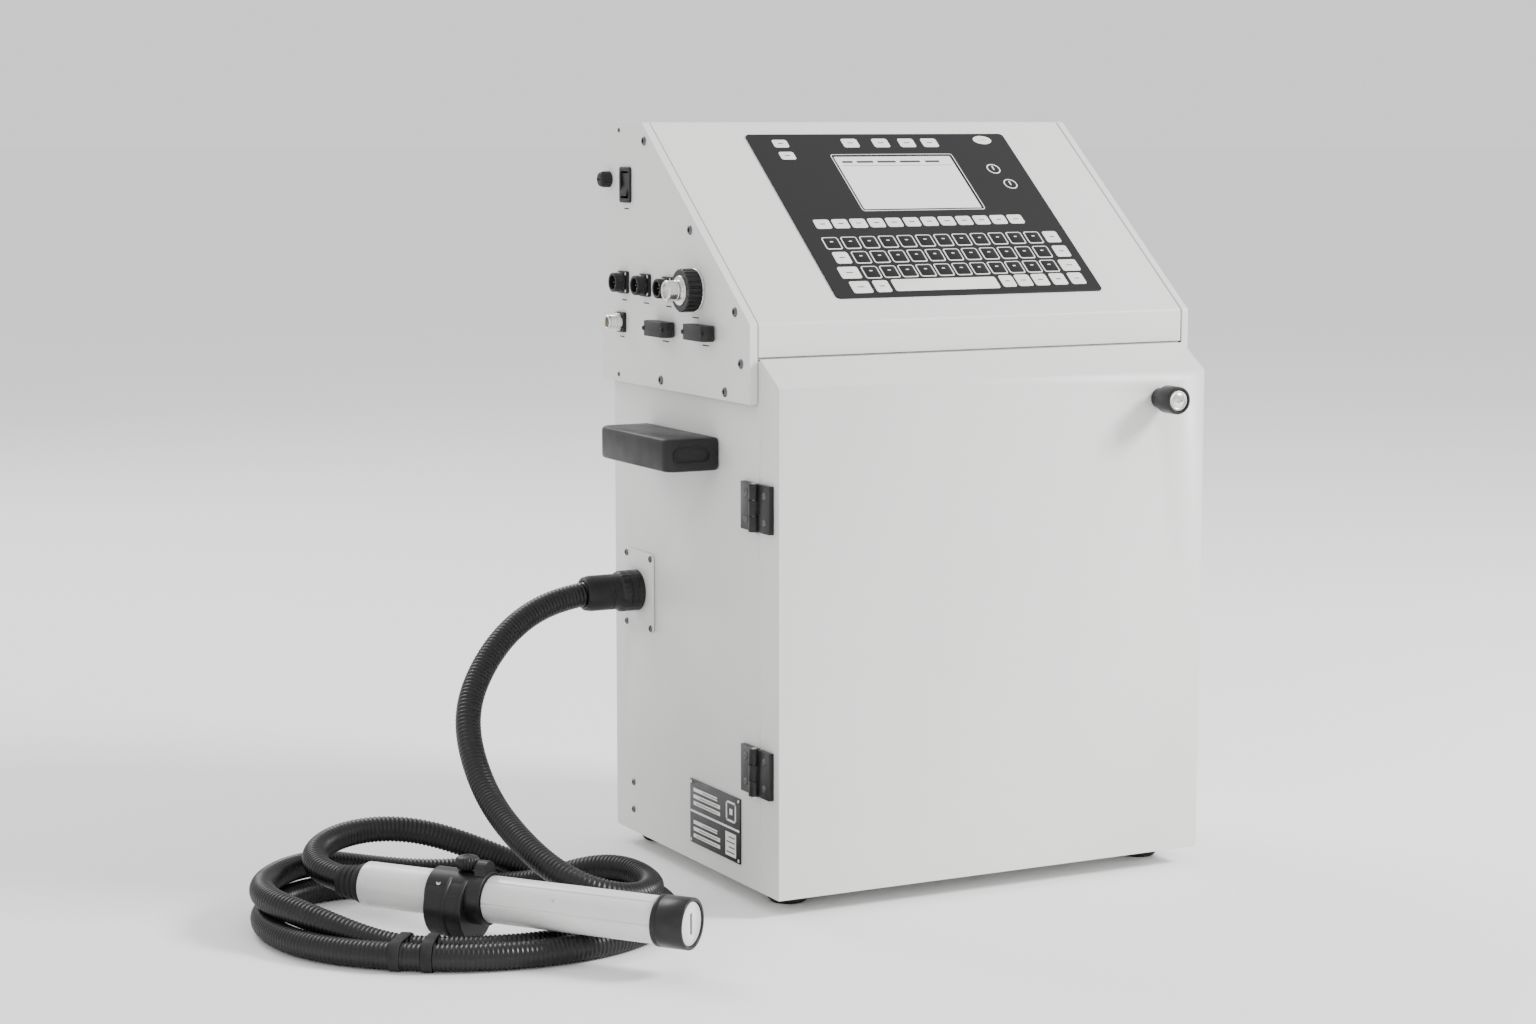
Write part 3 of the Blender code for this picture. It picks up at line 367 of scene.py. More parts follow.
def add_bevel(obj, width, segs=3, angle=28):
    m = obj.modifiers.new("edge_round", "BEVEL")
    m.width, m.segments = width * MM, segs
    m.limit_method, m.angle_limit = "ANGLE", math.radians(angle)
    m.harden_normals = True
    m.use_clamp_overlap = True


def cutter(name, mesh):
    mesh.transform(Matrix.Translation(Vector((OX, OY, 0)) * MM) @ Matrix.Scale(MM, 4))
    obj = bpy.data.objects.new(name, mesh)
    bpy.context.scene.collection.objects.link(obj)
    obj.hide_render = True
    obj.hide_viewport = True
    obj.display_type = "WIRE"
    return obj


def cut(obj, *meshes, op="DIFFERENCE"):
    """Boolean cuts, worked out at once so that no helper object stays."""
    for i, me in enumerate(meshes):
        c = cutter(f"helper_{obj.name}_{i}", me)
        c.hide_viewport = False
        m = obj.modifiers.new("cut", "BOOLEAN")
        m.operation, m.solver, m.object = op, "EXACT", c
        # cuts go ahead of the edge rounding
        while obj.modifiers.find(m.name) > 0 and obj.modifiers[
                obj.modifiers.find(m.name) - 1].type == "BEVEL":
            i0 = obj.modifiers.find(m.name)
            obj.modifiers.move(i0, i0 - 1)
        bpy.context.view_layer.update()
        bevels = [x for x in obj.modifiers if x.type == "BEVEL"]
        for x in bevels:
            x.show_viewport = False
        dg = bpy.context.evaluated_depsgraph_get()
        new = bpy.data.meshes.new_from_object(obj.evaluated_get(dg), depsgraph=dg)
        for x in bevels:
            x.show_viewport = True
        obj.modifiers.remove(obj.modifiers[m.name])
        obj.data = new
        bpy.data.objects.remove(c)
    return obj


def box_bm(bm, lo, hi):
    made = bmesh.ops.create_cube(bm, size=1)["verts"]
    for v in made:
        v.co = Vector([lo[i] if v.co[i] < 0 else hi[i] for i in range(3)])


def boxes(*pairs):
    bm = bmesh.new()
    for lo, hi in pairs:
        box_bm(bm, lo, hi)
    return finish_bm(bm, "boxes")


def place(axis, p, h):
    if axis == "x":
        return (h, p[0], p[1])
    if axis == "y":
        return (p[0], h, p[1])
    return (p[0], p[1], h)


def loft(sections, closed_ends=True):
    bm = bmesh.new()
    rings = [[bm.verts.new(p) for p in s] for s in sections]
    n = len(rings[0])
    for a, b in zip(rings, rings[1:]):
        for i in range(n):
            j = (i + 1) % n
            bm.faces.new((a[i], a[j], b[j], b[i]))
    if closed_ends:
        bm.faces.new(rings[0][::-1])
        bm.faces.new(rings[-1])
    return finish_bm(bm, "loft")


def prism(profile, axis, lo, hi):
    return loft([[place(axis, p, h) for p in profile] for h in (lo, hi)])


def axes_of(axis):
    return Vector((0, 0, 1)).rotation_difference(Vector(axis).normalized()).to_matrix()


def lathe(profile, origin, axis, segs=64, radius=None):
    """Turned body. radius(r, i, t) may vary a ring's radius with its angle."""
    rot, o = axes_of(axis), Vector(origin)
    bm = bmesh.new()
    rings = []
    for i, (r, h) in enumerate(profile):
        if r == 0:
            rings.append([bm.verts.new(o + rot @ Vector((0, 0, h)))])
            continue
        ring = []
        for k in range(segs):
            t = 2 * math.pi * k / segs
            rr = radius(r, i, t) if radius else r
            ring.append(bm.verts.new(o + rot @ Vector((rr * math.cos(t), rr * math.sin(t), h))))
        rings.append(ring)
    pairs = list(zip(rings, rings[1:]))
    if profile[0][0] != 0:
        pairs.append((rings[-1], rings[0]))
    for a, b in pairs:
        for k in range(segs):
            j = (k + 1) % segs
            if len(a) == 1 and len(b) == 1:
                break
            if len(a) == 1:
                bm.faces.new((a[0], b[j], b[k]))
            elif len(b) == 1:
                bm.faces.new((a[k], a[j], b[0]))
            else:
                bm.faces.new((a[k], a[j], b[j], b[k]))
    return finish_bm(bm, "lathe")


def fillet(profile, radii, n=4):
    """Rounds the corners of an open profile; radii gives one per point, 0 to leave it."""
    out = []
    for i, p in enumerate(profile):
        r = radii.get(i, 0) if isinstance(radii, dict) else radii
        if i in (0, len(profile) - 1) or not r:
            out.append(p)
            continue
        p0, p1, p2 = (Vector(profile[i - 1]), Vector(p), Vector(profile[i + 1]))
        a, b = (p0 - p1), (p2 - p1)
        la, lb = a.length, b.length
        a.normalize()
        b.normalize()
        ang = math.acos(max(-1, min(1, a.dot(b))))
        if ang > math.pi - 0.02 or ang < 0.02:
            out.append(p)
            continue
        d = min(r / math.tan(ang / 2), la * 0.48, lb * 0.48)
        rr = d * math.tan(ang / 2)
        c = p1 + (a + b).normalized() * (rr / math.sin(ang / 2))
        s, e = p1 + a * d - c, p1 + b * d - c
        full = s.angle_signed(e)
        for k in range(n + 1):
            q = s.copy()
            q.rotate(Matrix.Rotation(-full * k / n, 2))
            out.append(tuple(c + q))
    return out


def rounded(w, h, r, n=6, cx=0.0, cy=0.0):
    pts = []
    for qx, qy, a0 in ((1, -1, -90), (1, 1, 0), (-1, 1, 90), (-1, -1, 180)):
        for k in range(n + 1):
            a = math.radians(a0 + 90 * k / n)
            pts.append((cx + qx * (w / 2 - r) + r * math.cos(a),
                        cy + qy * (h / 2 - r) + r * math.sin(a)))
    return pts


def join(*meshes):
    bm = bmesh.new()
    for m in meshes:
        bm.from_mesh(m)
        bpy.data.meshes.remove(m)
    mesh = bpy.data.meshes.new("joined")
    bm.to_mesh(mesh)
    bm.free()
    return mesh


def catmull(points, per):
    pts = [Vector(p) for p in points]
    pts = [2 * pts[0] - pts[1]] + pts + [2 * pts[-1] - pts[-2]]
    out = []
    for p0, p1, p2, p3 in zip(pts, pts[1:], pts[2:], pts[3:]):
        t0 = 0.0
        t1 = t0 + max((p1 - p0).length, 1e-6) ** 0.5
        t2 = t1 + max((p2 - p1).length, 1e-6) ** 0.5
        t3 = t2 + max((p3 - p2).length, 1e-6) ** 0.5
        for k in range(per):
            t = t1 + (t2 - t1) * k / per
            a1 = p0 * ((t1 - t) / (t1 - t0)) + p1 * ((t - t0) / (t1 - t0))
            a2 = p1 * ((t2 - t) / (t2 - t1)) + p2 * ((t - t1) / (t2 - t1))
            a3 = p2 * ((t3 - t) / (t3 - t2)) + p3 * ((t - t2) / (t3 - t2))
            b1 = a1 * ((t2 - t) / (t2 - t0)) + a2 * ((t - t0) / (t2 - t0))
            b2 = a2 * ((t3 - t) / (t3 - t1)) + a3 * ((t - t1) / (t3 - t1))
            out.append(b1 * ((t2 - t) / (t2 - t1)) + b2 * ((t - t1) / (t2 - t1)))
    out.append(pts[-2])
    return out


def respaced(points, step):
    acc = [0.0]
    for a, b in zip(points, points[1:]):
        acc.append(acc[-1] + (b - a).length)
    n = max(2, round(acc[-1] / step))
    out, i = [], 0
    for k in range(n + 1):
        s = acc[-1] * k / n
        while i < len(acc) - 2 and acc[i + 1] < s:
            i += 1
        f = (s - acc[i]) / max(acc[i + 1] - acc[i], 1e-9)
        out.append(points[i].lerp(points[i + 1], min(max(f, 0), 1)))
    return out


def relaxed(points, passes, amount=0.5):
    """Evens out a line's bends, keeping its ends."""
    pts = [p.copy() for p in points]
    for _ in range(passes):
        new = [pts[0]] + [pts[i] + ((pts[i - 1] + pts[i + 1]) / 2 - pts[i]) * amount
                          for i in range(1, len(pts) - 1)] + [pts[-1]]
        pts = new
    return pts


def sweep(points, radii, segs=20, cap=True):
    """Round tube along a line, with a radius for each of its points."""
    bm = bmesh.new()
    rings = []
    t = (points[1] - points[0]).normalized()
    up = Vector((0, 0, 1)) if abs(t.z) < 0.9 else Vector((1, 0, 0))
    n = (up - t * up.dot(t)).normalized()
    for i, p in enumerate(points):
        a, b = points[max(i - 1, 0)], points[min(i + 1, len(points) - 1)]
        t2 = (b - a).normalized()
        n = (n - t2 * n.dot(t2)).normalized()
        m = t2.cross(n)
        rings.append([bm.verts.new(p + n * (radii[i] * math.cos(2 * math.pi * k / segs))
                                   + m * (radii[i] * math.sin(2 * math.pi * k / segs)))
                      for k in range(segs)])
    for a, b in zip(rings, rings[1:]):
        for k in range(segs):
            j = (k + 1) % segs
            bm.faces.new((a[k], a[j], b[j], b[k]))
    if cap:
        bm.faces.new(rings[0][::-1])
        bm.faces.new(rings[-1])
    return finish_bm(bm, "sweep")


# ------------------------------------------------------------------ umbilical hose
def coil_point(a, b, z):
    p = Vector(COIL_C) + AX_A * a + AX_B * b
    return Vector((p.x, p.y, z))


RISER = [
    (-251.5, 224, 228.5), (-262, 224, 228.5), (-275, 223.5, 227.5), (-307, 216, 217.5),
    (-340, 201, 199), (-366, 183, 175), (-386, 163, 151), (-392, 143, 128.5),
    (-391.5, 124, 107),
    *(tuple(coil_point(*p)) for p in (
        (13, 50, 90), (30, 22, 75.5), (47, -5, 64.5), (65, -29, 54.5), (82, -46, 47),
        (100, -54, 41), (118, -53, 36.5), (134, -41, 33.5), (144.5, -22, 32.2))),
]
# turns: (angle in degrees, distance in from the outer edge, height of the centreline)
TURNS = [
    (3, 21.5, 32), (12, 21.5, 32), (24, 27, 32), (36, 36, 31.8), (50, 47.5, 26), (62, 53.8, 12),
    (70, 53.8, 10.5), (100, 53.8, 10.5), (120, 39, 10.5), (138, 19, 10.5), (150, 11.5, 10.5),
    (165, 10.7, 10.5), (462, 10.7, 10.5), (474, 10.5, 13.5), (490, 10, 24), (506, 9, 31.5),
    (556, 10, 32), (572, 15, 31), (590, 24, 23), (612, 32.2, 10.5), (778, 32.2, 10.5),
    (786, 32.2, 12.5), (792, 32.6, 17.5), (798, 33.5, 23), (804, 35, 29.5),
]
ARCH_C, ARCH_R = (-69.9, 36.1), 58.0
TAIL = [coil_point(*p) for p in ((-1, 106, 35), (-17, 102.5, 43), (-34, 98.5, 50.5),
                                 (-51, 95, 55.3))]
for th, z in ((90, 56.5), (112, 56.5), (135, 54.5), (157, 51), (180, 47.5), (202, 44),
              (224, 41)):
    TAIL.append(coil_point(ARCH_C[0] + ARCH_R * math.cos(math.radians(th)),
                           ARCH_C[1] + ARCH_R * math.sin(math.radians(th)), z))
TAIL += [HEAD_O - HEAD_U, HEAD_O + HEAD_U * 9.0]


def turn_value(deg, col):
    for r0, r1 in zip(TURNS, TURNS[1:]):
        if deg <= r1[0]:
            return r0[col] + (r1[col] - r0[col]) * (deg - r0[0]) / (r1[0] - r0[0])
    return TURNS[-1][col]


def faired(p, passes, k=0.5):
    p = p.copy()
    for _ in range(passes):
        p[1:-1] += ((p[:-2] + p[2:]) / 2 - p[1:-1]) * k
    return p


def settled(points, gap=21.3, rounds=260, r_min=56.0):
    """Lays the drawn route down as a stiff hose: strands rest beside and on each other
    and on the floor, bends stay wide, and the line keeps near its route."""
    p0 = np.array([tuple(v) for v in points])
    step = np.linalg.norm(np.diff(p0, axis=0), axis=1).mean()
    ref = faired(p0, 20)
    p = ref.copy()
    idx = np.arange(len(p))
    arc = idx * step
    near = np.abs(idx[:, None] - idx[None, :]) * step < 70
    free = np.clip(np.minimum(arc - 10, arc[-1] - arc - 10) / 60, 0, 1)[:, None]
    hold = np.where((arc > 330) & (arc < 560), 0.015, 0.06)[:, None]
    for _ in range(rounds):
        q = p.copy()
        low = (p[:, 2] < 34) & (arc > 430) & (arc < arc[-1] - 300)
        q += (ref - p) * hold
        q[:, 2] -= np.where(low, 0.12, 0.0)
        for span in (2, 4, 6):
            d = q[span:-span] - (q[:-2 * span] + q[2 * span:]) / 2
            h = np.linalg.norm(d, axis=1)
            lim = (span * step) ** 2 / (2 * r_min)
            q[span:-span] -= d * np.clip((h - lim) / np.maximum(h, 1e-6), 0, 1)[:, None] * 0.5
        q = ref + faired(q - ref, 2)
        for _ in range(4):
            df = q[:, None, :] - q[None, :, :]
            dist = np.linalg.norm(df, axis=2)
            w = np.where((dist < gap) & ~near, gap - dist, 0)
            if w.max() > 0:
                j, m = w.argmax(1), w.max(1)
                d = df[idx, j]
                d = d / np.maximum(np.linalg.norm(d, axis=1), 1e-6)[:, None]
                q += d * (m * 0.5)[:, None]
            q[:, 2] = np.maximum(q[:, 2], 10.5)
        p = p + (q - p) * free
    return [Vector(v) for v in p]


turns = []
deg = 3.0
while deg <= 804:
    off, z = turn_value(deg, 1), turn_value(deg, 2)
    t = math.radians(deg)
    turns.append(coil_point((COIL_A - off) * math.cos(t), (COIL_B - off) * math.sin(t), z))
    deg += 4.0
rest = settled(respaced(catmull([Vector(p) for p in RISER] + turns + TAIL, 6), 8.0))
line = respaced(catmull(rest, 4), 2.0)
PITCH = 3.5
fine = respaced(line, PITCH / 4)
ridge = (10.5, 10.42, 9.65, 9.75)
hose = put("umbilical_hose", sweep(fine, [ridge[i % 4] for i in range(len(fine))], 20), CONDUIT,
           smooth=60)
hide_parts("hose_riser", "hose_coil", "hose_tail")
hose_path = [at(p) for p in respaced(line, 8.0)]


def coil_band(name, deg_at, width):
    """A tie round the two front strands: a stadium-shaped loop of webbing."""
    hits = []
    for i in range(1, len(rest) - 1):
        d = Vector((rest[i].x, rest[i].y)) - Vector(COIL_C)
        a, b = d.dot(AX_A) / (COIL_A - 21.4), d.dot(AX_B) / (COIL_B - 21.4)
        off = (math.degrees(math.atan2(b, a)) - deg_at + 180) % 360 - 180
        if abs(off) < 6 and math.hypot(a, b) > 0.75 and rest[i].z < 18:
            hits.append((abs(off), i))
    hits.sort()
    first = hits[0][1]
    second = next(i for _, i in hits if abs(i - first) > 20)
    p, q = rest[first], rest[second]
    tangent = (rest[first + 1] - rest[first - 1]).normalized()
    q = q - tangent * (q - p).dot(tangent)
    out = (q - p)
    out.z = 0
    half = out.length / 2
    out.normalize()
    c = (p + q) / 2
    c.z = 10.9

    def ring(r, w, floor):
        pts = []
        for side in (1, -1):
            for k in range(17):
                a = math.radians((-90 if side == 1 else 90) + 180 * k / 16)
                pts.append(c + out * (side * half + r * math.cos(a))
                           + Vector((0, 0, max(r * math.sin(a), floor))) + tangent * w)
        return pts

    w = width / 2
    rings = [ring(11.1, -w, -10.5), ring(11.9, -w + 0.4, -10.7), ring(12.1, -w + 1.3, -10.7),
             ring(12.1, w - 1.3, -10.7), ring(11.9, w - 0.4, -10.7), ring(11.1, w, -10.5),
             ring(10.6, w - 0.4, -10.4), ring(10.6, -w + 0.4, -10.4)]
    bm = bmesh.new()
    vs = [[bm.verts.new(v) for v in r] for r in rings]
    n = len(vs[0])
    for a, b in zip(vs, vs[1:] + vs[:1]):
        for k in range(n):
            j = (k + 1) % n
            bm.faces.new((a[k], a[j], b[j], b[k]))
    return put(name, finish_bm(bm, name), RUBBER, smooth=40)


tie_a = coil_band("coil_tie_left", 256.0, 8.5)
tie_b = coil_band("coil_tie_right", 264.5, 8.5)

# ------------------------------------------------------------------ kept CAD nodes


def polish(node, mat, width=0.5, segs=2, angle=28):
    """Gives a CAD node its material and rounded edges."""
    o = NODES[node]
    for i in range(len(o.material_slots)):
        o.material_slots[i].material = mat
    if not o.material_slots:
        o.data.materials.append(mat)
    w = o.modifiers.new("weld", "WELD")
    w.merge_threshold = 0.00002
    d = o.modifiers.new("planar", "DECIMATE")
    d.decimate_type, d.angle_limit = "DISSOLVE", math.radians(0.6)
    if width:
        add_bevel(o, width, segs, angle)
    for p in o.data.polygons:
        p.use_smooth = True
    return o


def plain(node, mat):
    o = NODES[node]
    for i in range(len(o.material_slots)):
        o.material_slots[i].material = mat
    return o


polish("cabinet_body", WHITE, 1.6, 3)
polish("front_door", WHITE, 2.2, 4)
polish("divider_plate", STEEL, 0.4)
polish("door_seal", RUBBER, 0.9, 3)
for h in ("upper_hinge", "lower_hinge"):
    polish(f"{h}_cabinet_leaf", BLACK_METAL, 0.5, 2, 40)
    polish(f"{h}_door_leaf", BLACK_METAL, 0.5, 2, 40)
    plain(f"{h}_pin", STEEL)
polish("lock_cam", STEEL, 0.4)
polish("umbilical_flange", WHITE, 0.6)
polish("control_board", BOARD, 0.2)
polish("display_module", BOARD, 0.3)
polish("power_supply", ALU, 0.8)
polish("fan_frame", BLACK, 0.5)
plain("fan_rotor", BLACK_FINE)
polish("ink_tank", TANK_INK, 5.0, 4)
polish("solvent_tank", TANK_CLEAR, 5.0, 4)
polish("ink_pump", ALU, 1.0)
polish("valve_block", ALU, 0.8)
plain("ink_filter", TANK_CLEAR)
polish("nozzle_block", ALU, 0.3)
polish("power_switch_frame", BLACK, 0.6, 3)
polish("power_switch_rocker", BLACK_FINE, 0.5, 3)
polish("serial_port_front", BLACK, 0.3)
polish("serial_port_rear", BLACK, 0.3)

# ------------------------------------------------------------------ small parts
def screw(name, centre, axis, r, mat, recess="hex", h=None, body="printer"):
    """Button head with a hexagon or cross recess, sunk a little into its seat."""
    h = h or r * 0.42
    key = r * 0.5
    prof = [(0, h - h * 0.62), (key, h - h * 0.62), (key, h * 0.99), (key + 0.12 * r, h),
            (r * 0.72, h * 0.93), (r * 0.9, h * 0.66), (r, h * 0.25), (r, -0.4), (0, -0.4)]

    def shape(rr, i, t):
        if i not in (1, 2):
            return rr
        if recess == "hex":
            return rr * math.cos(math.pi / 6) / math.cos(t % (math.pi / 3) - math.pi / 6)
        c = max(abs(math.cos(t)), abs(math.sin(t)))
        return rr * (1.15 if c > 0.955 else 0.42)

    return put(name, lathe(prof, centre, axis, 48, shape), mat, body, smooth=30)


def flutes(n, depth, rings):
    """Radius function with n scallops on the given profile points."""
    return lambda r, i, t: r - depth * abs(math.sin(n * t / 2)) ** 3 if i in rings else r


# feet
for nx, fx in (("left", -165.0), ("right", 175.0)):
    for ny, fy in (("front", 18.0), ("rear", 258.0)):
        put(f"fine_foot_{ny}_{nx}", lathe(
            [(0, 1.6), (5.0, 1.6), (5.4, 0.4), (6.2, 0), (13.4, 0), (14.5, 0.6), (16.3, 2.6),
             (16.5, 4.4), (16.1, 5.0), (16.1, 5.6), (16.6, 6.2), (16.9, 12.6), (16.3, 13.7),
             (0, 13.7)], (fx, fy, 0), (0, 0, 1), 64), RUBBER, repl=(f"foot_{ny}_{nx}",),
            slot="black_rubber")

# handles
for s, nm in ((-1, "left_handle"), (1, "right_handle")):
    polish(nm, BLACK, 0.7, 3, 32)

# a fine raised bead round the oblong recess in each handle's ends
for s, nm in ((-1, "left"), (1, "right")):
    for k, (ya, yb) in enumerate(((69.7, 70.6), (202.4, 203.3)), 1):
        secs = [[(p[0], y, p[1]) for p in rounded(32.6 - 2 * d, 13.1 - 2 * d, 6.5 - d, 8,
                                                  s * (HALF_W + 25), 360.5)]
                for y, d in ((yb, 0), (ya, 0), (ya, 0.7), (yb, 0.7))]
        bm = bmesh.new()
        vs = [[bm.verts.new(v) for v in r] for r in secs]
        n = len(vs[0])
        for p, q in zip(vs, vs[1:] + vs[:1]):
            for i in range(n):
                j = (i + 1) % n
                bm.faces.new((p[i], p[j], q[j], q[i]))
        put(f"{nm}_handle_bead_{k}", finish_bm(bm, "bead"), BLACK_FINE, smooth=30)

# data plate: two stacked fields, pale bars and a square outline
polish("data_plate", BLACK_FINE, 0.3)
XP = -201.5


def plate_rect(y0, y1, z0, z1, h0=0.0, h1=0.22):
    return ((XP - h1, y0, z0), (XP + 0.05 - h0, y1, z1))


bars = [plate_rect(33.2, 122.8, 56.2, 58.0)]
for z0, z1 in ((62, 79), (34.5, 51.5)):
    step = (z1 - z0) / 3
    bars += [plate_rect(68 + 5 * (k == 2), 117, z0 + step * k + 0.7, z0 + step * k + 3.9)
             for k in range(3)]
bars += [plate_rect(39, 58, 33.5, 53.0)]
put("data_plate_fields", boxes(*bars), PRINT, bevel=0.08, segs=1)
put("data_plate_square", boxes(
    plate_rect(39, 57, 62, 63.8), plate_rect(39, 57, 77.2, 79), plate_rect(39, 41, 62, 79),
    plate_rect(55, 57, 62, 79), plate_rect(45.5, 50.5, 68, 73)), PRINT, bevel=0.08, segs=1)
put("data_plate_field_lines", boxes(
    *[plate_rect(41, 56 - 4 * (k % 2), 36.2 + 4.2 * k, 37.2 + 4.2 * k, 0.0, 0.3)
      for k in range(4)],
    *[plate_rect(72, 112 - 6 * k, z + 0.9 + 17.0 / 3 * k + 1.0, z + 1.5 + 17.0 / 3 * k + 1.0, 0.0, 0.3)
      for z in (62, 34.5) for k in range(3)]), INKED, bevel=0.05, segs=1)
for i, (y, z) in enumerate(((34.5, 32.5), (121.5, 32.5), (34.5, 81.5), (121.5, 81.5)), 1):
    put(f"data_plate_rivet_{i}", lathe(fillet([(0, 0.75), (0.9, 0.62), (1.5, 0.1), (1.5, -0.3),
                                               (0, -0.3)], 0), (XP, y, z), (-1, 0, 0), 24),
        STEEL)

# gland: ribbed nut and a compression sleeve
put("fine_umbilical_gland", lathe(
    [(11.0, 188), (15.0, 188), (15.0, 202.6), (17.1, 202.6), (17.5, 203.0), (17.5, 206.6),
     (17.0, 207.1), (17.0, 207.7), (17.5, 208.2), (17.5, 213.0), (17.0, 213.5), (17.0, 214.1),
     (17.5, 214.6), (17.5, 219.6), (16.6, 221.4), (15.7, 222), (15.2, 222.4), (15.2, 228.4),
     (14.6, 228.9), (14.6, 229.7), (15.2, 230.2), (15.2, 247.2), (14.9, 248.6), (14.2, 252.2),
     (13.4, 253), (11.4, 253), (11.0, 252.5)], (0, GLAND_Y, GLAND_Z), (-1, 0, 0), 96,
    flutes(24, 0.55, (5, 9, 10, 13, 14))), BLACK, repl=("umbilical_gland",), slot="black_plastic")
for i, (y, z) in enumerate(((197.6, 198.6), (245.4, 198.6), (197.6, 258.4), (245.4, 258.4)), 1):
    screw(f"flange_screw_{i}", (-202.3, y, z), (-1, 0, 0), 3.0, DARK_STEEL)

# hinge screws
for nm, zc in (("upper", 325.0), ("lower", 113.0)):
    for k, dz in enumerate((-10.5, 10.5)):
        screw(f"{nm}_hinge_screw_fixed_{k}", (-204.4, 15.8, zc + dz), (-1, 0, 0), 3.0, DARK_STEEL,
              "cross", 0.8)
        screw(f"{nm}_hinge_screw_door_{k}", (-204.4, -15.8, zc + dz), (-1, 0, 0), 3.0, DARK_STEEL,
              "cross", 0.8, body="door")
for k, (y, z) in enumerate(((238.1, 57.7), (238.4, 33.7)), 1):
    screw(f"cabinet_side_screw_{k}", (-200, y, z), (-1, 0, 0), 3.0, DARK_STEEL)

# lock
LX, LZ = 155.0, 399.0
put("fine_lock_collar", lathe(
    [(4.3, 27.5), (10.0, 27.5), (10.0, 30.7), (7.1, 30.7), (7.1, 33.2), (8.1, 33.2),
     (8.5, 33.6), (8.5, 40.8), (8.9, 41.7), (11.0, 43.6), (11.5, 44.5), (11.5, 59.9),
     (11.2, 60.9), (10.4, 61.5), (9.4, 61.5), (9.0, 61.1), (9.0, 57), (4.3, 57)],
    (LX, 0, LZ), (0, -1, 0), 96), BLACK_METAL, "door", repl=("lock_collar",),
    slot="black_plastic")
core = put("fine_lock_core", lathe(
    [(0, -12.5), (3.5, -12.5), (3.9, -12.1), (3.9, 57.4), (8.2, 57.4), (8.6, 57.8),
     (8.6, 60.1), (8.2, 60.6), (6.4, 60.6), (6.1, 60.3), (5.8, 60.6), (0, 60.6)],
    (LX, 0, LZ), (0, -1, 0), 64), NICKEL, "lock", repl=("lock_core",), slot="plain_steel",
    bevel=0.12, segs=1, angle=50)
cut(core, boxes(((LX - 4.4, -66, LZ - 0.9), (LX + 4.4, -58.6, LZ + 0.9))),
    boxes(((LX - 1.1, -66, LZ - 1.8), (LX + 1.1, -58.6, LZ + 1.8))))

# ------------------------------------------------------------------ console
CON = [(CON_BACK, CON_BOTTOM), (CON_BACK, CON_TOP), (TOP_FRONT_Y, CON_TOP), (LIP_Y, LIP_TOP),
       (LIP_Y, LIP_BOTTOM)]


def inset(points, d):
    out, normals = [], []
    for a, b in zip(points, points[1:]):
        t = (Vector(b) - Vector(a)).normalized()
        normals.append(Vector((-t.y, t.x)))
    for i, p in enumerate(points):
        if i == 0 or i == len(points) - 1:
            out.append(Vector(p) + normals[0 if i == 0 else -1] * d)
            continue
        m = (normals[i - 1] + normals[i]).normalized()
        out.append(Vector(p) + m * (d / m.dot(normals[i])))
    return [tuple(p) for p in out]


def bent(points, d, r):
    p = inset(points, d) if d else [tuple(q) for q in points]
    p[0] = (p[0][0], CON_BOTTOM)
    p[-1] = (p[-1][0], LIP_BOTTOM)
    return fillet(p, r, 6)


SLOPE_LEN = math.hypot(TOP_FRONT_Y - LIP_Y, CON_TOP - LIP_TOP)
ST = Vector((0, TOP_FRONT_Y - LIP_Y, CON_TOP - LIP_TOP)).normalized()
SN = Vector((0, -ST.z, ST.y))
SO = Vector((0, LIP_Y, LIP_TOP))


def on_slope(x, s, h):
    return SO + Vector((x, 0, 0)) + ST * s + SN * h


def slope_prism(profile, h0, h1):
    return loft([[on_slope(p[0], p[1], h) for p in profile] for h in (h0, h1)])


PAD = (-119.0, 134.5, 26.0, 234.0)
WIN = (-47.0, 68.0, 134.5, 204.5)
WCX, WCS = (WIN[0] + WIN[1]) / 2, (WIN[2] + WIN[3]) / 2
panel = put("fine_console_panel", prism(bent(CON, 0, 3.4) + bent(CON, 2.0, 1.4)[::-1], "x",
                                        -199.8, 199.8), WHITE, repl=("console_shell",),
            bevel=0.5, segs=2, angle=40, slot="white_powder_coat")
cut(panel, slope_prism(rounded(WIN[1] - WIN[0] + 2, WIN[3] - WIN[2] + 2, 1.5, 3, WCX, WCS),
                       -12, 10),
    *[prism(rounded(2 * w, 5, 2.4, 5, -60, 545 + dz), "y", CON_BACK - 12, CON_BACK + 10)
      for dz, w in ((-30, 18), (-20, 29), (-10, 34), (0, 35), (10, 34), (20, 29), (30, 18))])

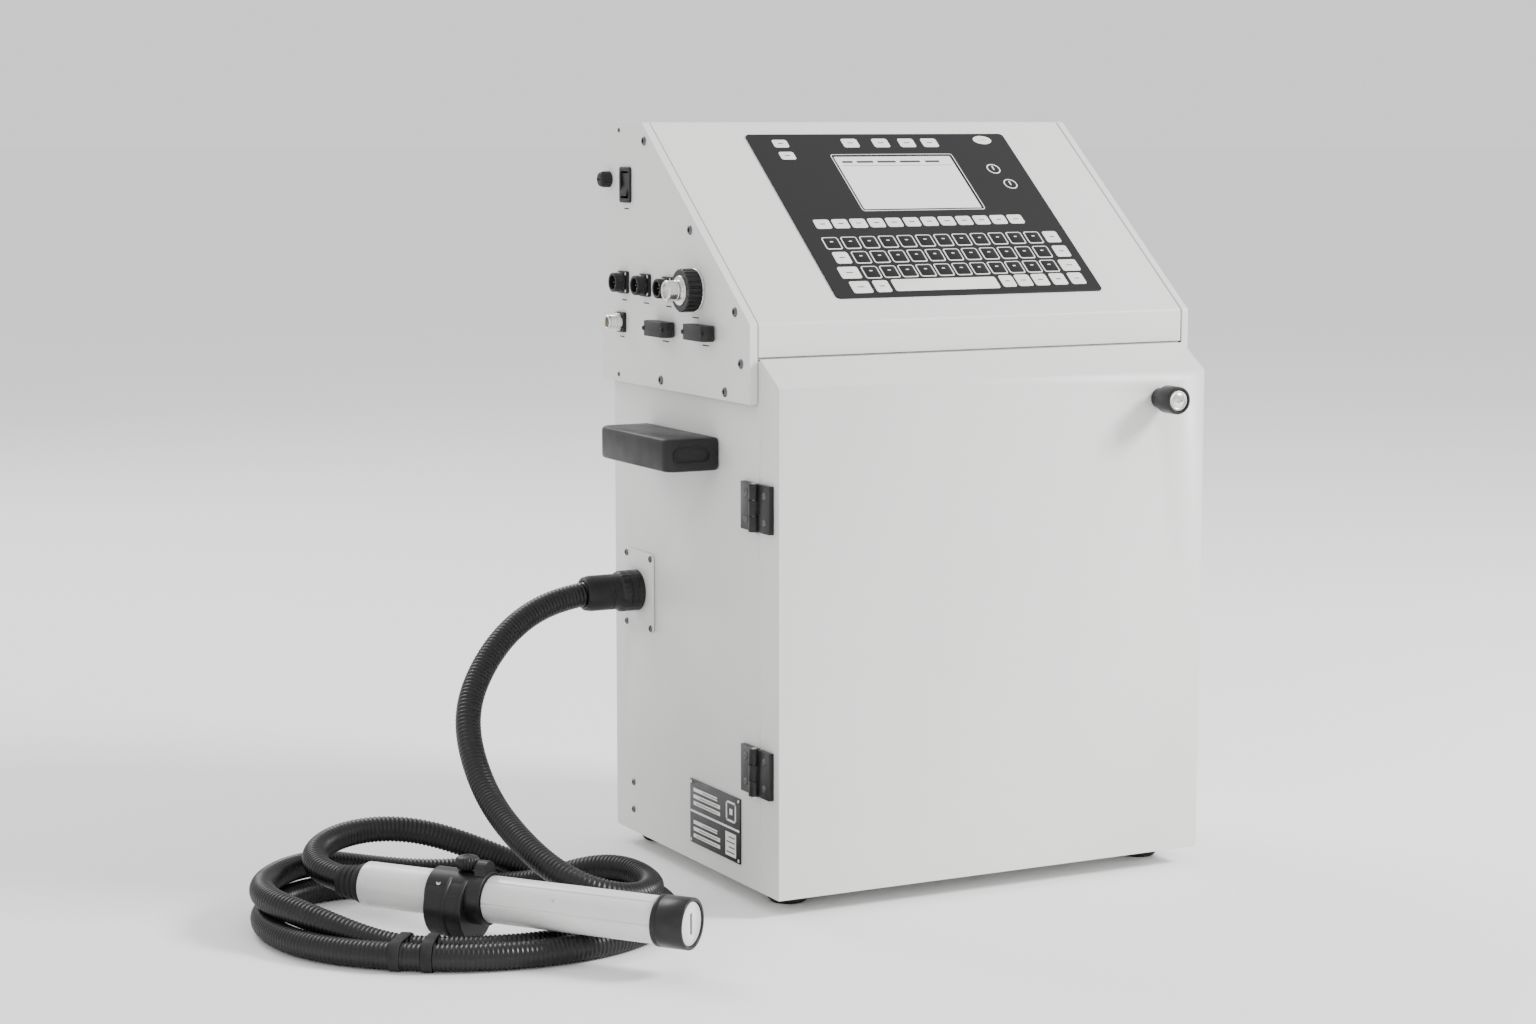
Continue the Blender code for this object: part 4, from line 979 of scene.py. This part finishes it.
XF = -CON_W
SOCKETS = ((235.0, 491.0), (191.5, 490.5), (148.0, 490.0))
ROUND = (98.0, 491.0)
SENSOR = (240.0, 457.0)
PORTS = ((134.0, 174.0, 456.5), (60.0, 100.0, 458.0))
SWITCH = (230.0, 573.0)
FUSE = (264.0, 577.0)
side = [(CON_BACK, CON_BOTTOM), (CON_BACK, CON_TOP), (TOP_FRONT_Y, CON_TOP), (LIP_Y, LIP_TOP),
        (LIP_Y, CON_BOTTOM)]
for sgn, nm, node in ((-1, "fine_connector_plate", "connector_side_plate"),
                      (1, "fine_right_plate", "right_side_plate")):
    loop = side + [side[0]]
    out = fillet(side, 3.4, 6)
    inn = inset(side, 2.0)
    inn = [(inn[0][0], CON_BOTTOM - 5)] + inn[1:4] + [(inn[4][0], CON_BOTTOM - 5)]
    lo, hi = sorted((sgn * 200.8, sgn * CON_W))
    tray = put(nm, prism(out, "x", lo, hi), WHITE, repl=(node,), bevel=1.0, segs=3, angle=40,
               slot="white_powder_coat")
    cut(tray, prism(fillet(inn, 1.4, 3), "x", *sorted((sgn * 199, sgn * 205.5))))
    if sgn < 0:
        cut(tray, *[lathe([(0, 196), (7.6, 196), (7.6, 212), (0, 212)], (0, y, z), (-1, 0, 0), 40)
                    for y, z in SOCKETS],
            lathe([(0, 196), (12.6, 196), (12.6, 212), (0, 212)], (0, *ROUND), (-1, 0, 0), 48),
            lathe([(0, 196), (6.6, 196), (6.6, 212), (0, 212)], (0, *SENSOR), (-1, 0, 0), 40),
            lathe([(0, 196), (5.6, 196), (5.6, 212), (0, 212)], (0, *FUSE), (-1, 0, 0), 40),
            boxes(((-212, SWITCH[0] - 9.1, SWITCH[1] - 13.1),
                   (-196, SWITCH[0] + 9.1, SWITCH[1] + 13.1))),
            *[boxes(((-212, a_ + 5, z_ - 4), (-196, b_ - 5, z_ + 4))) for a_, b_, z_ in PORTS])
for side_sign, tag in ((-1, "left"), (1, "right")):
    for k, (y, z) in enumerate(((194.8, 609.8), (108.1, 539), (27.7, 477.3), (17.4, 437.1),
                                (45.6, 412.7), (164, 413.2)), 1):
        screw(f"{tag}_plate_screw_{k}", (side_sign * (CON_W - 0.05), y, z), (side_sign, 0, 0), 4.0,
              DARK_STEEL, h=1.5)
    for k, (y, z) in enumerate(((244.4, 618.6), (247.5, 412)), 1):
        screw(f"{tag}_plate_small_screw_{k}", (side_sign * (CON_W - 0.05), y, z),
              (side_sign, 0, 0), 2.1, DARK_STEEL, h=0.9)

# keypad: foil, outlined keys, pale keys, marks
pad = put("fine_keypad_foil", slope_prism(rounded(PAD[1] - PAD[0], PAD[3] - PAD[2], 4, 6,
                                                  (PAD[0] + PAD[1]) / 2,
                                                  (PAD[2] + PAD[3]) / 2), 0.1, 1.25), FOIL,
          repl=("keypad_membrane",), bevel=0.25, segs=2, slot="keypad_foil")
cut(pad, slope_prism(rounded(WIN[1] - WIN[0], WIN[3] - WIN[2], 1.5, 4, WCX, WCS), -5, 10))


def spread(n, x0, x1, s0, s1):
    return [(x0 + (x1 - x0) * k / (n - 1), s0 + (s1 - s0) * k / (n - 1)) for k in range(n)]


outlined = [(x, s, 15.2, 15.2) for x, s in spread(12, -95.5, 99.3, 92.6, 94.6)]
outlined += [(x, s, 15.2, 15.2) for x, s in spread(11, -75.9, 99.0, 74.5, 76.0)]
outlined += [(x, s, 15.2, 15.2) for x, s in spread(11, -74.7, 97.2, 56.0, 58.0)]
pale = [(117.4, 94.8, 14.2, 14.2), (-94, 74.4, 14.2, 14.2), (118, 76.2, 14.2, 14.2),
        (-95, 56, 18.5, 14.2), (116.7, 58.2, 17.5, 14.2), (-92, 38.2, 18.0, 14.2),
        (-72.4, 38.6, 14.2, 14.2), (47.4, 40.4, 13.0, 14.2), (63.2, 40.8, 14.2, 14.2),
        (79.8, 41.0, 14.2, 14.2), (97.5, 41.2, 14.2, 14.2), (115.7, 41.4, 14.2, 14.2),
        (-90.2, 221.2, 14.0, 10.0), (-90.1, 205.2, 14.0, 10.0)]
pale += [(x, s, 14.6, 11.4) for x, s in spread(12, -94.2, 93.0, 116.5, 118.6)]
pale += [(x, 221.5, 15.4, 11.4) for x in (-23, 6.8, 32.5, 55.3)]
bar_key = [(-12.2, 39.2, 99.0, 14.2)]


def raised(items, grow, r, h0, h1, shrink=0.5):
    """Low domed keys embossed from the foil."""
    meshes = []
    for x, s, w, h in items:
        w, h = w + grow, h + grow
        secs = []
        for hh, d in ((h0, 0), (h1 - 0.12, 0), (h1, shrink)):
            secs.append([on_slope(p[0], p[1], hh)
                         for p in rounded(w - 2 * d, h - 2 * d, max(r - d, 0.4), 5, x, s)])
        meshes.append(loft(secs))
    return join(*meshes)


put("keypad_outlines", raised(outlined, 0, 2.4, 0.9, 1.38, 0.15), PRINT, smooth=30)
put("keypad_keys_outlined", raised(outlined, -2.2, 1.6, 0.9, 1.62, 0.5), FOIL_KEY, smooth=30)
put("keypad_keys_pale", raised(pale + bar_key, 0, 2.2, 0.9, 1.6, 0.5), PRINT, smooth=30)
put("keypad_key_dots", join(*[
    slope_prism(rounded(3.0, 1.1, 0.5, 3, x, s + 1.5), 1.0, 1.68) for x, s, w, h in outlined]),
    PRINT, smooth=30)
put("keypad_pale_key_marks", join(*[
    slope_prism(rounded(w * 0.36, 1.0, 0.45, 3, x, s), 1.0, 1.66) for x, s, w, h in pale]),
    INKED, smooth=30)


def slope_ring(x, s, rx, ry, w, h0, h1, n=48):
    def ell(k, ax, ay, h):
        t = 2 * math.pi * k / n
        return on_slope(x + ax * math.cos(t), s + ay * math.sin(t), h)
    bm = bmesh.new()
    rings = [[bm.verts.new(ell(k, ax, ay, h)) for k in range(n)]
             for ax, ay, h in ((rx, ry, h0), (rx, ry, h1), (rx - w, ry - w, h1),
                               (rx - w, ry - w, h0))]
    for p, q in zip(rings, rings[1:] + rings[:1]):
        for k in range(n):
            j = (k + 1) % n
            bm.faces.new((p[k], p[j], q[j], q[k]))
    return finish_bm(bm, "ring")


put("keypad_marks", join(slope_ring(110, 226 - 1, 9.0, 5.6, 5.5, 1.0, 1.36),
                         slope_ring(103, 185.6, 6.4, 6.4, 1.1, 1.0, 1.36),
                         slope_ring(110.4, 165.2, 6.4, 6.4, 1.1, 1.0, 1.36),
                         slope_prism(rounded(8.5, 1.3, 0.6, 4, 110, 225), 1.0, 1.36),
                         slope_prism(rounded(1.3, 5.4, 0.6, 4, 103, 186.8), 1.0, 1.36),
                         slope_prism(rounded(1.3, 5.4, 0.6, 4, 110.4, 166.4), 1.0, 1.36)),
    PRINT, smooth=30)
put("display_bezel_line", slope_prism(rounded(119.4, 74.4, 2.6, 5, WCX, WCS), 1.0, 1.32), PRINT,
    smooth=30)
bez = put("display_bezel", slope_prism(rounded(117.8, 72.8, 2.0, 5, WCX, WCS), 1.0, 1.4), FOIL_KEY,
          smooth=30)
for o in (bez, bpy.data.objects["display_bezel_line"]):
    cut(o, slope_prism(rounded(WIN[1] - WIN[0], WIN[3] - WIN[2], 1.5, 4, WCX, WCS), -5, 10))
put("fine_display", slope_prism(rounded(WIN[1] - WIN[0] - 0.6, WIN[3] - WIN[2] - 0.6, 1.3, 4,
                                        WCX, WCS), -1.6, 0.85), LCD, repl=("display_window",),
    bevel=0.25, segs=2, slot="display_glass")
put("display_bars", join(*[
    slope_prism(rounded(w, 2.6, 0.3, 2, x, WIN[3] - 7.5), 0.7, 0.9)
    for x, w in ((-36, 10), (-19, 16), (2, 18), (25, 20), (47, 14))]
    + [slope_prism(rounded(106, 0.5, 0.2, 2, WCX, WIN[3] - 12.5), 0.7, 0.9)]), LCD_DARK)

# ------------------------------------------------------------------ connectors
for i, (y, z) in enumerate(SOCKETS, 1):
    s = put(f"fine_interface_socket_{i}", join(
        prism(rounded(19, 19, 2.0, 5, y, z), "x", XF - 2.6, XF - 0.2),
        lathe([(0, 192), (7.2, 192), (7.2, 210.2), (8.2, 210.2), (8.2, 218.4), (7.8, 219.2),
               (6.4, 219.2), (6.0, 218.8), (6.0, 212.5), (0, 212.5)], (0, y, z), (-1, 0, 0), 64)),
        BLACK, repl=(f"interface_socket_{i}",), bevel=0.25, segs=2, angle=40,
        slot="black_plastic")
    put(f"interface_socket_pins_{i}", join(*[
        lathe([(0, 216.4), (0.45, 216.2), (0.6, 215.6), (0.6, 212.4), (0, 212.4)],
              (0, y + 3.0 * math.cos(k * 1.2566), z + 3.0 * math.sin(k * 1.2566)), (-1, 0, 0), 16)
        for k in range(5)]), BRASS)
    put(f"interface_socket_band_{i}", lathe(
        [(8.15, 213.6), (8.3, 213.8), (8.3, 214.8), (8.15, 215.0)], (0, y, z), (-1, 0, 0), 64),
        BLACK_FINE)
    for k, (dy, dz) in enumerate(((-6.9, -6.9), (6.9, -6.9), (-6.9, 6.9), (6.9, 6.9))):
        screw(f"interface_socket_{i}_screw_{k}", (XF - 2.55, y + dy, z + dz), (-1, 0, 0), 1.4,
              STEEL, "cross", 0.5)
put("fine_round_connector", lathe(
    [(0, 186), (12.2, 186), (12.2, 207.8), (17.1, 207.8), (17.5, 208.1), (17.5, 209.3),
     (17.1, 209.6), (12.0, 209.6), (12.0, 222.4), (11.6, 222.9), (8.7, 223.3), (8.4, 223.7),
     (8.4, 226.4), (8.0, 226.8), (8.0, 227.6), (8.4, 228.0), (8.4, 234.0), (7.8, 234.8),
     (6.6, 235), (5.8, 235), (5.6, 234.4), (5.6, 231.8), (0, 231.8)],
    (0, *ROUND), (-1, 0, 0), 96), NICKEL, repl=("round_connector_body",), slot="black_plastic")
put("fine_round_connector_ring", lathe(
    [(12.4, 210.0), (16.6, 210.0), (17.6, 210.8), (17.6, 213.8), (17.6, 217.8), (17.6, 221.0),
     (16.6, 221.8), (12.4, 221.8)], (0, *ROUND), (-1, 0, 0), 144,
    lambda r, i, t: r - (0.0 if math.sin(24 * t) > -0.2 else 0.9) if i in (2, 3, 4, 5) else r),
    BLACK_METAL, "plug_ring", repl=("round_connector_ring",), slot="black_plastic", smooth=24)
for k in range(4):
    t = math.pi / 4 + k * math.pi / 2
    screw(f"round_connector_screw_{k}", (XF - 2.05, ROUND[0] + 14.9 * math.cos(t),
                                         ROUND[1] + 14.9 * math.sin(t)), (-1, 0, 0), 1.2, STEEL,
          "cross", 0.05)
put("sensor_socket_flange", prism(rounded(17, 17, 1.8, 5, *SENSOR), "x", XF - 3.0, XF - 0.2), BLACK,
    bevel=0.3, segs=2)
put("fine_sensor_socket", join(
    lathe([(0, 192), (6.2, 192), (6.2, 210.6), (7.3, 210.6), (7.6, 210.9), (7.6, 213.7),
           (7.3, 214), (6.2, 214), (6.2, 215.4)] +
          [p for k in range(4) for p in ((5.8, 215.8 + 1.3 * k), (6.2, 216.3 + 1.3 * k),
                                         (6.2, 216.6 + 1.3 * k))] +
          [(6.2, 221.5), (5.6, 222.2), (4.8, 222.2), (4.4, 221.8), (4.4, 216), (0, 216)],
          (0, *SENSOR), (-1, 0, 0), 64)), NICKEL, repl=("sensor_socket",), smooth=30,
    slot="black_plastic")
put("sensor_socket_core", lathe([(0, 219.5), (0.8, 219.2), (1.0, 218.4), (1.0, 215.9), (0, 215.9)],
                                (0, *SENSOR), (-1, 0, 0), 24), BRASS)
put("fine_fuse_cap", lathe(
    [(0, 190), (5.0, 190), (5.0, 207.8), (6.5, 207.8), (6.8, 208.1), (6.8, 209.6), (6.8, 213.6),
     (6.4, 215.4), (6.0, 216.5), (5.4, 217.1), (4.5, 217.5), (0, 217.5)], (0, *FUSE), (-1, 0, 0),
    72, flutes(18, 0.5, (5, 6, 7))), BLACK, "fuse_carrier", repl=("fuse_cap",), bevel=0.1, segs=1,
    angle=50, slot="black_plastic")
cut(bpy.data.objects["fine_fuse_cap"],
    boxes(((-219, FUSE[0] - 4.2, FUSE[1] - 0.6), (-216.3, FUSE[0] + 4.2, FUSE[1] + 0.6))))
# generic printed dashes under the connectors
dash = []
for y, z, w in ((235, 476, 10), (191.5, 475.5, 10), (148, 475, 10), (98, 468.8, 12),
                (240, 444.6, 8), (154, 446, 12), (80, 447.4, 12), (230, 553, 9)):
    dash.append(((XF - 0.12, y - w / 2, z - 0.5), (XF + 0.05, y + w / 2, z + 0.5)))
put("connector_dashes", boxes(*dash), INKED)
for nm, (a_, b_, z_) in zip(("front", "rear"), PORTS[::-1]):
    for k, y in enumerate((a_ + 2.9, b_ - 2.9)):
        screw(f"serial_port_{nm}_screw_{k}", (-220.3, y, z_), (-1, 0, 0), 2.0, BLACK_METAL, h=0.6)

# ------------------------------------------------------------------ ink system
for nm, x, y, mat in (("ink", -127, 110, BLACK), ("solvent", 3, 110, PRINT)):
    put(f"fine_{nm}_cap", lathe(
        [(0, 168.5), (17.4, 168.5), (17.4, 155.6), (20.4, 155.6), (21, 156.2), (21, 158.2),
         (21, 170.4), (20.6, 172.4), (19.6, 173.6), (18.4, 174), (11, 174), (10.4, 173.4),
         (0, 173.4)], (x, y, 0), (0, 0, 1), 120, flutes(30, 0.7, (4, 5, 6))), mat,
        f"{nm}_cap", repl=(f"{nm}_tank_cap",), slot="black_plastic" if nm == "ink" else
        "translucent_polymer")


def ink_line(name, pts, r, mat):
    return put(name, sweep(respaced(catmull([Vector(p) for p in pts], 8), 3.0), [r] * (
        len(respaced(catmull([Vector(p) for p in pts], 8), 3.0))), 16), mat, smooth=60)


chips = []
for x, y, w, d, h in ((-150, 80, 26, 18, 4), (-110, 84, 18, 18, 3), (-70, 80, 30, 12, 3.4),
                      (-20, 90, 22, 22, 3), (-140, 130, 14, 30, 3), (-95, 140, 34, 34, 3.6),
                      (-40, 145, 16, 16, 3), (-10, 150, 12, 40, 8), (-150, 190, 40, 10, 9)):
    chips.append(((x, y, 449), (x + w, y + d, 449 + h)))
put("board_chips", boxes(*chips), BLACK_FINE, bevel=0.4, segs=2)
put("board_capacitors", join(*[
    lathe([(0, 449), (4.6, 449), (5, 449.6), (5, 450.6), (4.7, 451.2), (5, 451.8), (5, 461.2),
           (4.6, 462), (0, 462)], (x, y, 0), (0, 0, 1), 32)
    for x, y in ((10, 75), (22, 75), (10, 90), (-55, 205), (-40, 205), (-25, 205))]), ALU)

TUBING = polymer("tubing_clear", (0.70, 0.72, 0.70), (0.74, 0.76, 0.74), 0.1)
TUBING_DARK = moulded("tubing_dark", (0.02, 0.02, 0.03), 0.3, 3000, 0.00002, 0.04)
for k, (nm, pts, mat) in enumerate((
        ("ink_feed_line", [(-105, 160, 150.5), (-105, 168, 178), (-96, 200, 214), (-92, 238, 236),
                           (-92, 250, 249.5)], TUBING_DARK),
        ("ink_return_line", [(-145, 160, 150.5), (-145, 170, 184), (-140, 206, 222),
                             (-134, 240, 240), (-132, 250, 249.5)], TUBING_DARK),
        ("solvent_feed_line", [(20, 160, 150.5), (20, 168, 178), (26, 202, 216), (30, 240, 238),
                               (30, 250, 249.5)], TUBING),
        ("pump_feed_line", [(38, 160, 150.5), (40, 172, 176), (62, 196, 190), (92, 206, 160),
                            (108, 196, 100), (112, 178, 52), (112, 166, 36),
                            (112, 160.2, 33)], TUBING),
        ("filter_line", [(120, 244.3, 189.5), (120, 244.0, 170), (134, 232, 120), (146, 205, 66),
                         (146, 176, 38), (146, 160.2, 33)], TUBING_DARK))):
    ink_line(nm, pts, 3.0, mat)
for k, (x, y) in enumerate(((-105, 160), (-145, 160), (20, 160), (38, 160)), 1):
    put(f"tank_fitting_{k}", lathe([(0, 149.9), (6.2, 149.9), (6.6, 150.3), (6.6, 153.6),
                                    (6.2, 154), (4.6, 154.2), (4.4, 158.6), (4.0, 159), (0, 159)],
                                   (x, y, 0), (0, 0, 1), 48, flutes(6, 0.5, (2, 3))), BLACK_FINE)

# ------------------------------------------------------------------ print head
HU, HZ = Vector(HEAD_U), Vector((0, 0, 1))


def head_angle(front, up):
    """Lathe angle that points to the given mix of the near side and upwards."""
    w = axes_of(HEAD_U).transposed() @ (-HEAD_V * front + HZ * up)
    return math.atan2(w.y, w.x)


def head_turned(name, prof, mat, sides=96, radius=None, **kw):
    return put(name, lathe(prof, HEAD_O, HEAD_U, sides, radius), mat, **kw)


head_turned("fine_head_boot", [
    (0, 10.5), (10.8, 10.5), (10.8, 0.5), (11.2, 0.0), (11.9, 0), (12.3, 0.4), (12.5, 3.4),
    (11.8, 3.9), (11.8, 4.9), (12.7, 5.5), (13.0, 8.6), (12.3, 9.1), (12.3, 10.1), (13.3, 10.7),
    (13.7, 13.8), (13.0, 14.3), (13.0, 15.3), (14.1, 15.9), (15.3, 18.6), (15.6, 20.0),
    (15.6, 22.4), (15.2, 22.9), (0, 22.9)], RUBBER, repl=("head_boot",), slot="black_plastic")
head_turned("fine_head_body", [
    (0, 23.2), (16.4, 23.2), (17.1, 23.5), (17.5, 24.2), (17.5, 31.0), (17.1, 31.4),
    (17.1, 32.2), (17.5, 32.6), (17.5, 84.8), (17.1, 85.4), (16.3, 85.4), (16.3, 133.8),
    (14.8, 133.8), (14.8, 148), (14.4, 148), (8, 148), (8, 149.3), (7.6, 149.7), (0, 149.7)],
    TUBE, repl=("head_body",), slot="white_powder_coat")
clamp = head_turned("fine_head_clamp", [
    (0, 85.8), (20.0, 85.8), (20.5, 86.3), (20.5, 133.1), (20.0, 133.6), (0, 133.6)], BLACK_METAL,
    repl=("head_clamp",), bevel=0.3, segs=2, angle=40, slot="black_plastic")
low = HEAD_O - HZ * 7.5
LUG = []
for k in range(13):
    a_ = math.pi * k / 12
    LUG.append((8 * math.cos(a_), 22 + 7.5 * math.sin(a_)))
LUG = [(8, 14)] + LUG + [(-8, 14)]
cut(clamp,
    lathe([(0, 87.5), (24.2, 87.5), (25.0, 88.3), (25.0, 105.2), (24.2, 106), (0, 106)], low,
          HEAD_U, 96),
    lathe([(0, 104), (26.4, 104), (27.0, 104.6), (27.0, 106.6), (26.0, 107.4), (26.0, 117.6),
           (27.0, 118.4), (27.0, 120.4), (26.4, 121), (0, 121)], low, HEAD_U, 96),
    loft([[HEAD_O + HU * u + HEAD_V * v + HZ * z for v, z in LUG] for u in (123.6, 132.4)]),
    op="UNION")
cut(clamp, lathe([(0, 80), (16.6, 80), (16.6, 140), (0, 140)], HEAD_O, HEAD_U, 96),
    lathe([(0, 18), (3.3, 18), (3.3, 34), (0, 34)], HEAD_O + HU * 113, HZ, 32))
for k, v in enumerate((-15.0, 15.0)):
    screw(f"clamp_saddle_screw_{k}", HEAD_O + HU * 96.7 + HEAD_V * v + HZ * 12.3, (
        HEAD_V * v / 15.0 * 0.62 + HZ * 0.78), 2.6, STEEL)
knob_o = HEAD_O + HU * 113
put("fine_clamp_knob", lathe(
    [(0, 20.9), (3.0, 20.9), (3.0, 21.6), (7.4, 21.8), (8.3, 22.4), (8.9, 24.0), (9.4, 26.4),
     (9.5, 28.4), (9.0, 29.8), (7.6, 30.9), (5.2, 31.6), (3.4, 31.8), (3.0, 31.3), (0, 31.3)],
    knob_o, HZ, 120, flutes(20, 0.8, (4, 5, 6, 7, 8))), BLACK, "clamp_screw",
    repl=("clamp_knob",), slot="black_plastic")
seam_a, seam_b = head_angle(1.0, 0.0), head_angle(math.cos(1.05), math.sin(1.05))


def seamed(r, i, t):
    if r < 17:
        return r
    for a_ in (seam_a, seam_b):
        d = abs((t - a_ + math.pi) % (2 * math.pi) - math.pi)
        if d < math.pi / 128:
            return r - 0.7
    return r


tube = head_turned("fine_cover_tube", [
    (15.2, 134.2), (17.3, 134.2), (17.8, 134.5), (18.0, 135.1), (18.0, 287.2), (17.8, 287.8),
    (17.3, 288), (15.2, 288)], TUBE, 128, seamed, body="head_cover", repl=("head_cover_tube",),
    slot="white_powder_coat", smooth=24)
w = (-HEAD_V * math.cos(0.55) + HZ * math.sin(0.55))
screw("cover_tube_dot", HEAD_O + HU * 196 + w * 17.7, w, 1.7, STEEL, h=0.6, body="head_cover")
nose = head_turned("fine_nose_cap", [
    (0, 300.4), (14, 300.4), (14, 288.2), (18.1, 288.2), (18.1, 278.3), (18.4, 278), (19.1, 278),
    (19.6, 278.5), (19.6, 281.2), (19.2, 281.6), (19.2, 282.3), (19.6, 282.7), (19.6, 303.4),
    (19.3, 304.2), (18.8, 304.5), (17.6, 304.5), (17.1, 304.2), (16.9, 303.6), (16.9, 302.3),
    (0, 302.3)], BLACK_METAL, 96, body="head_cover", repl=("head_nose_cap",), bevel=0.15, segs=1,
    angle=50, slot="black_plastic")
cut(nose, loft([[HEAD_O + HU * u + HEAD_V * p[0] + HZ * p[1] for p in rounded(3.4, 17, 1.6, 5)]
                for u in (298, 307)]))
head_turned("nose_face_insert", [(0, 302.2), (16.4, 302.2), (16.4, 302.9), (16.0, 303.3), (0, 303.3)],
            TUBE, body="head_cover", bevel=0.12, segs=1, angle=50)
cut(bpy.data.objects["nose_face_insert"],
    loft([[HEAD_O + HU * u + HEAD_V * p[0] + HZ * p[1] for p in rounded(3.4, 17, 1.6, 5)]
          for u in (298, 307)]))

# ------------------------------------------------------------------ stage, light, end
bm = bmesh.new()
bmesh.ops.create_grid(bm, x_segments=1, y_segments=1, size=60)
me = bpy.data.meshes.new("floor")
bm.to_mesh(me)
bm.free()
me.materials.append(FLOOR)
floor = bpy.data.objects.new("floor", me)
bpy.context.scene.collection.objects.link(floor)
floor.location = (0, 0, 0)


def area(name, loc, target, size, energy, colour=(1, 1, 1)):
    d = bpy.data.lights.new(name, "AREA")
    d.shape, d.size, d.energy, d.color = "SQUARE", size, energy, colour
    o = bpy.data.objects.new(name, d)
    bpy.context.scene.collection.objects.link(o)
    o.location = loc
    o.rotation_euler = (Vector(target) - Vector(loc)).to_track_quat("-Z", "Y").to_euler()
    return o


area("key_light", (2.5, -1.7, 2.2), (0, 0, 0.3), 0.9, 165)
area("fill_light", (-3.0, -1.8, 1.3), (0, 0, 0.3), 1.8, 8)
area("rim_light", (-0.6, 2.6, 2.4), (0, 0, 0.4), 1.4, 50)
world = bpy.data.worlds.new("studio")
world.use_nodes = True
world.node_tree.nodes["Background"].inputs["Color"].default_value = (1, 1, 1, 1)
world.node_tree.nodes["Background"].inputs["Strength"].default_value = 1.1
bpy.context.scene.world = world
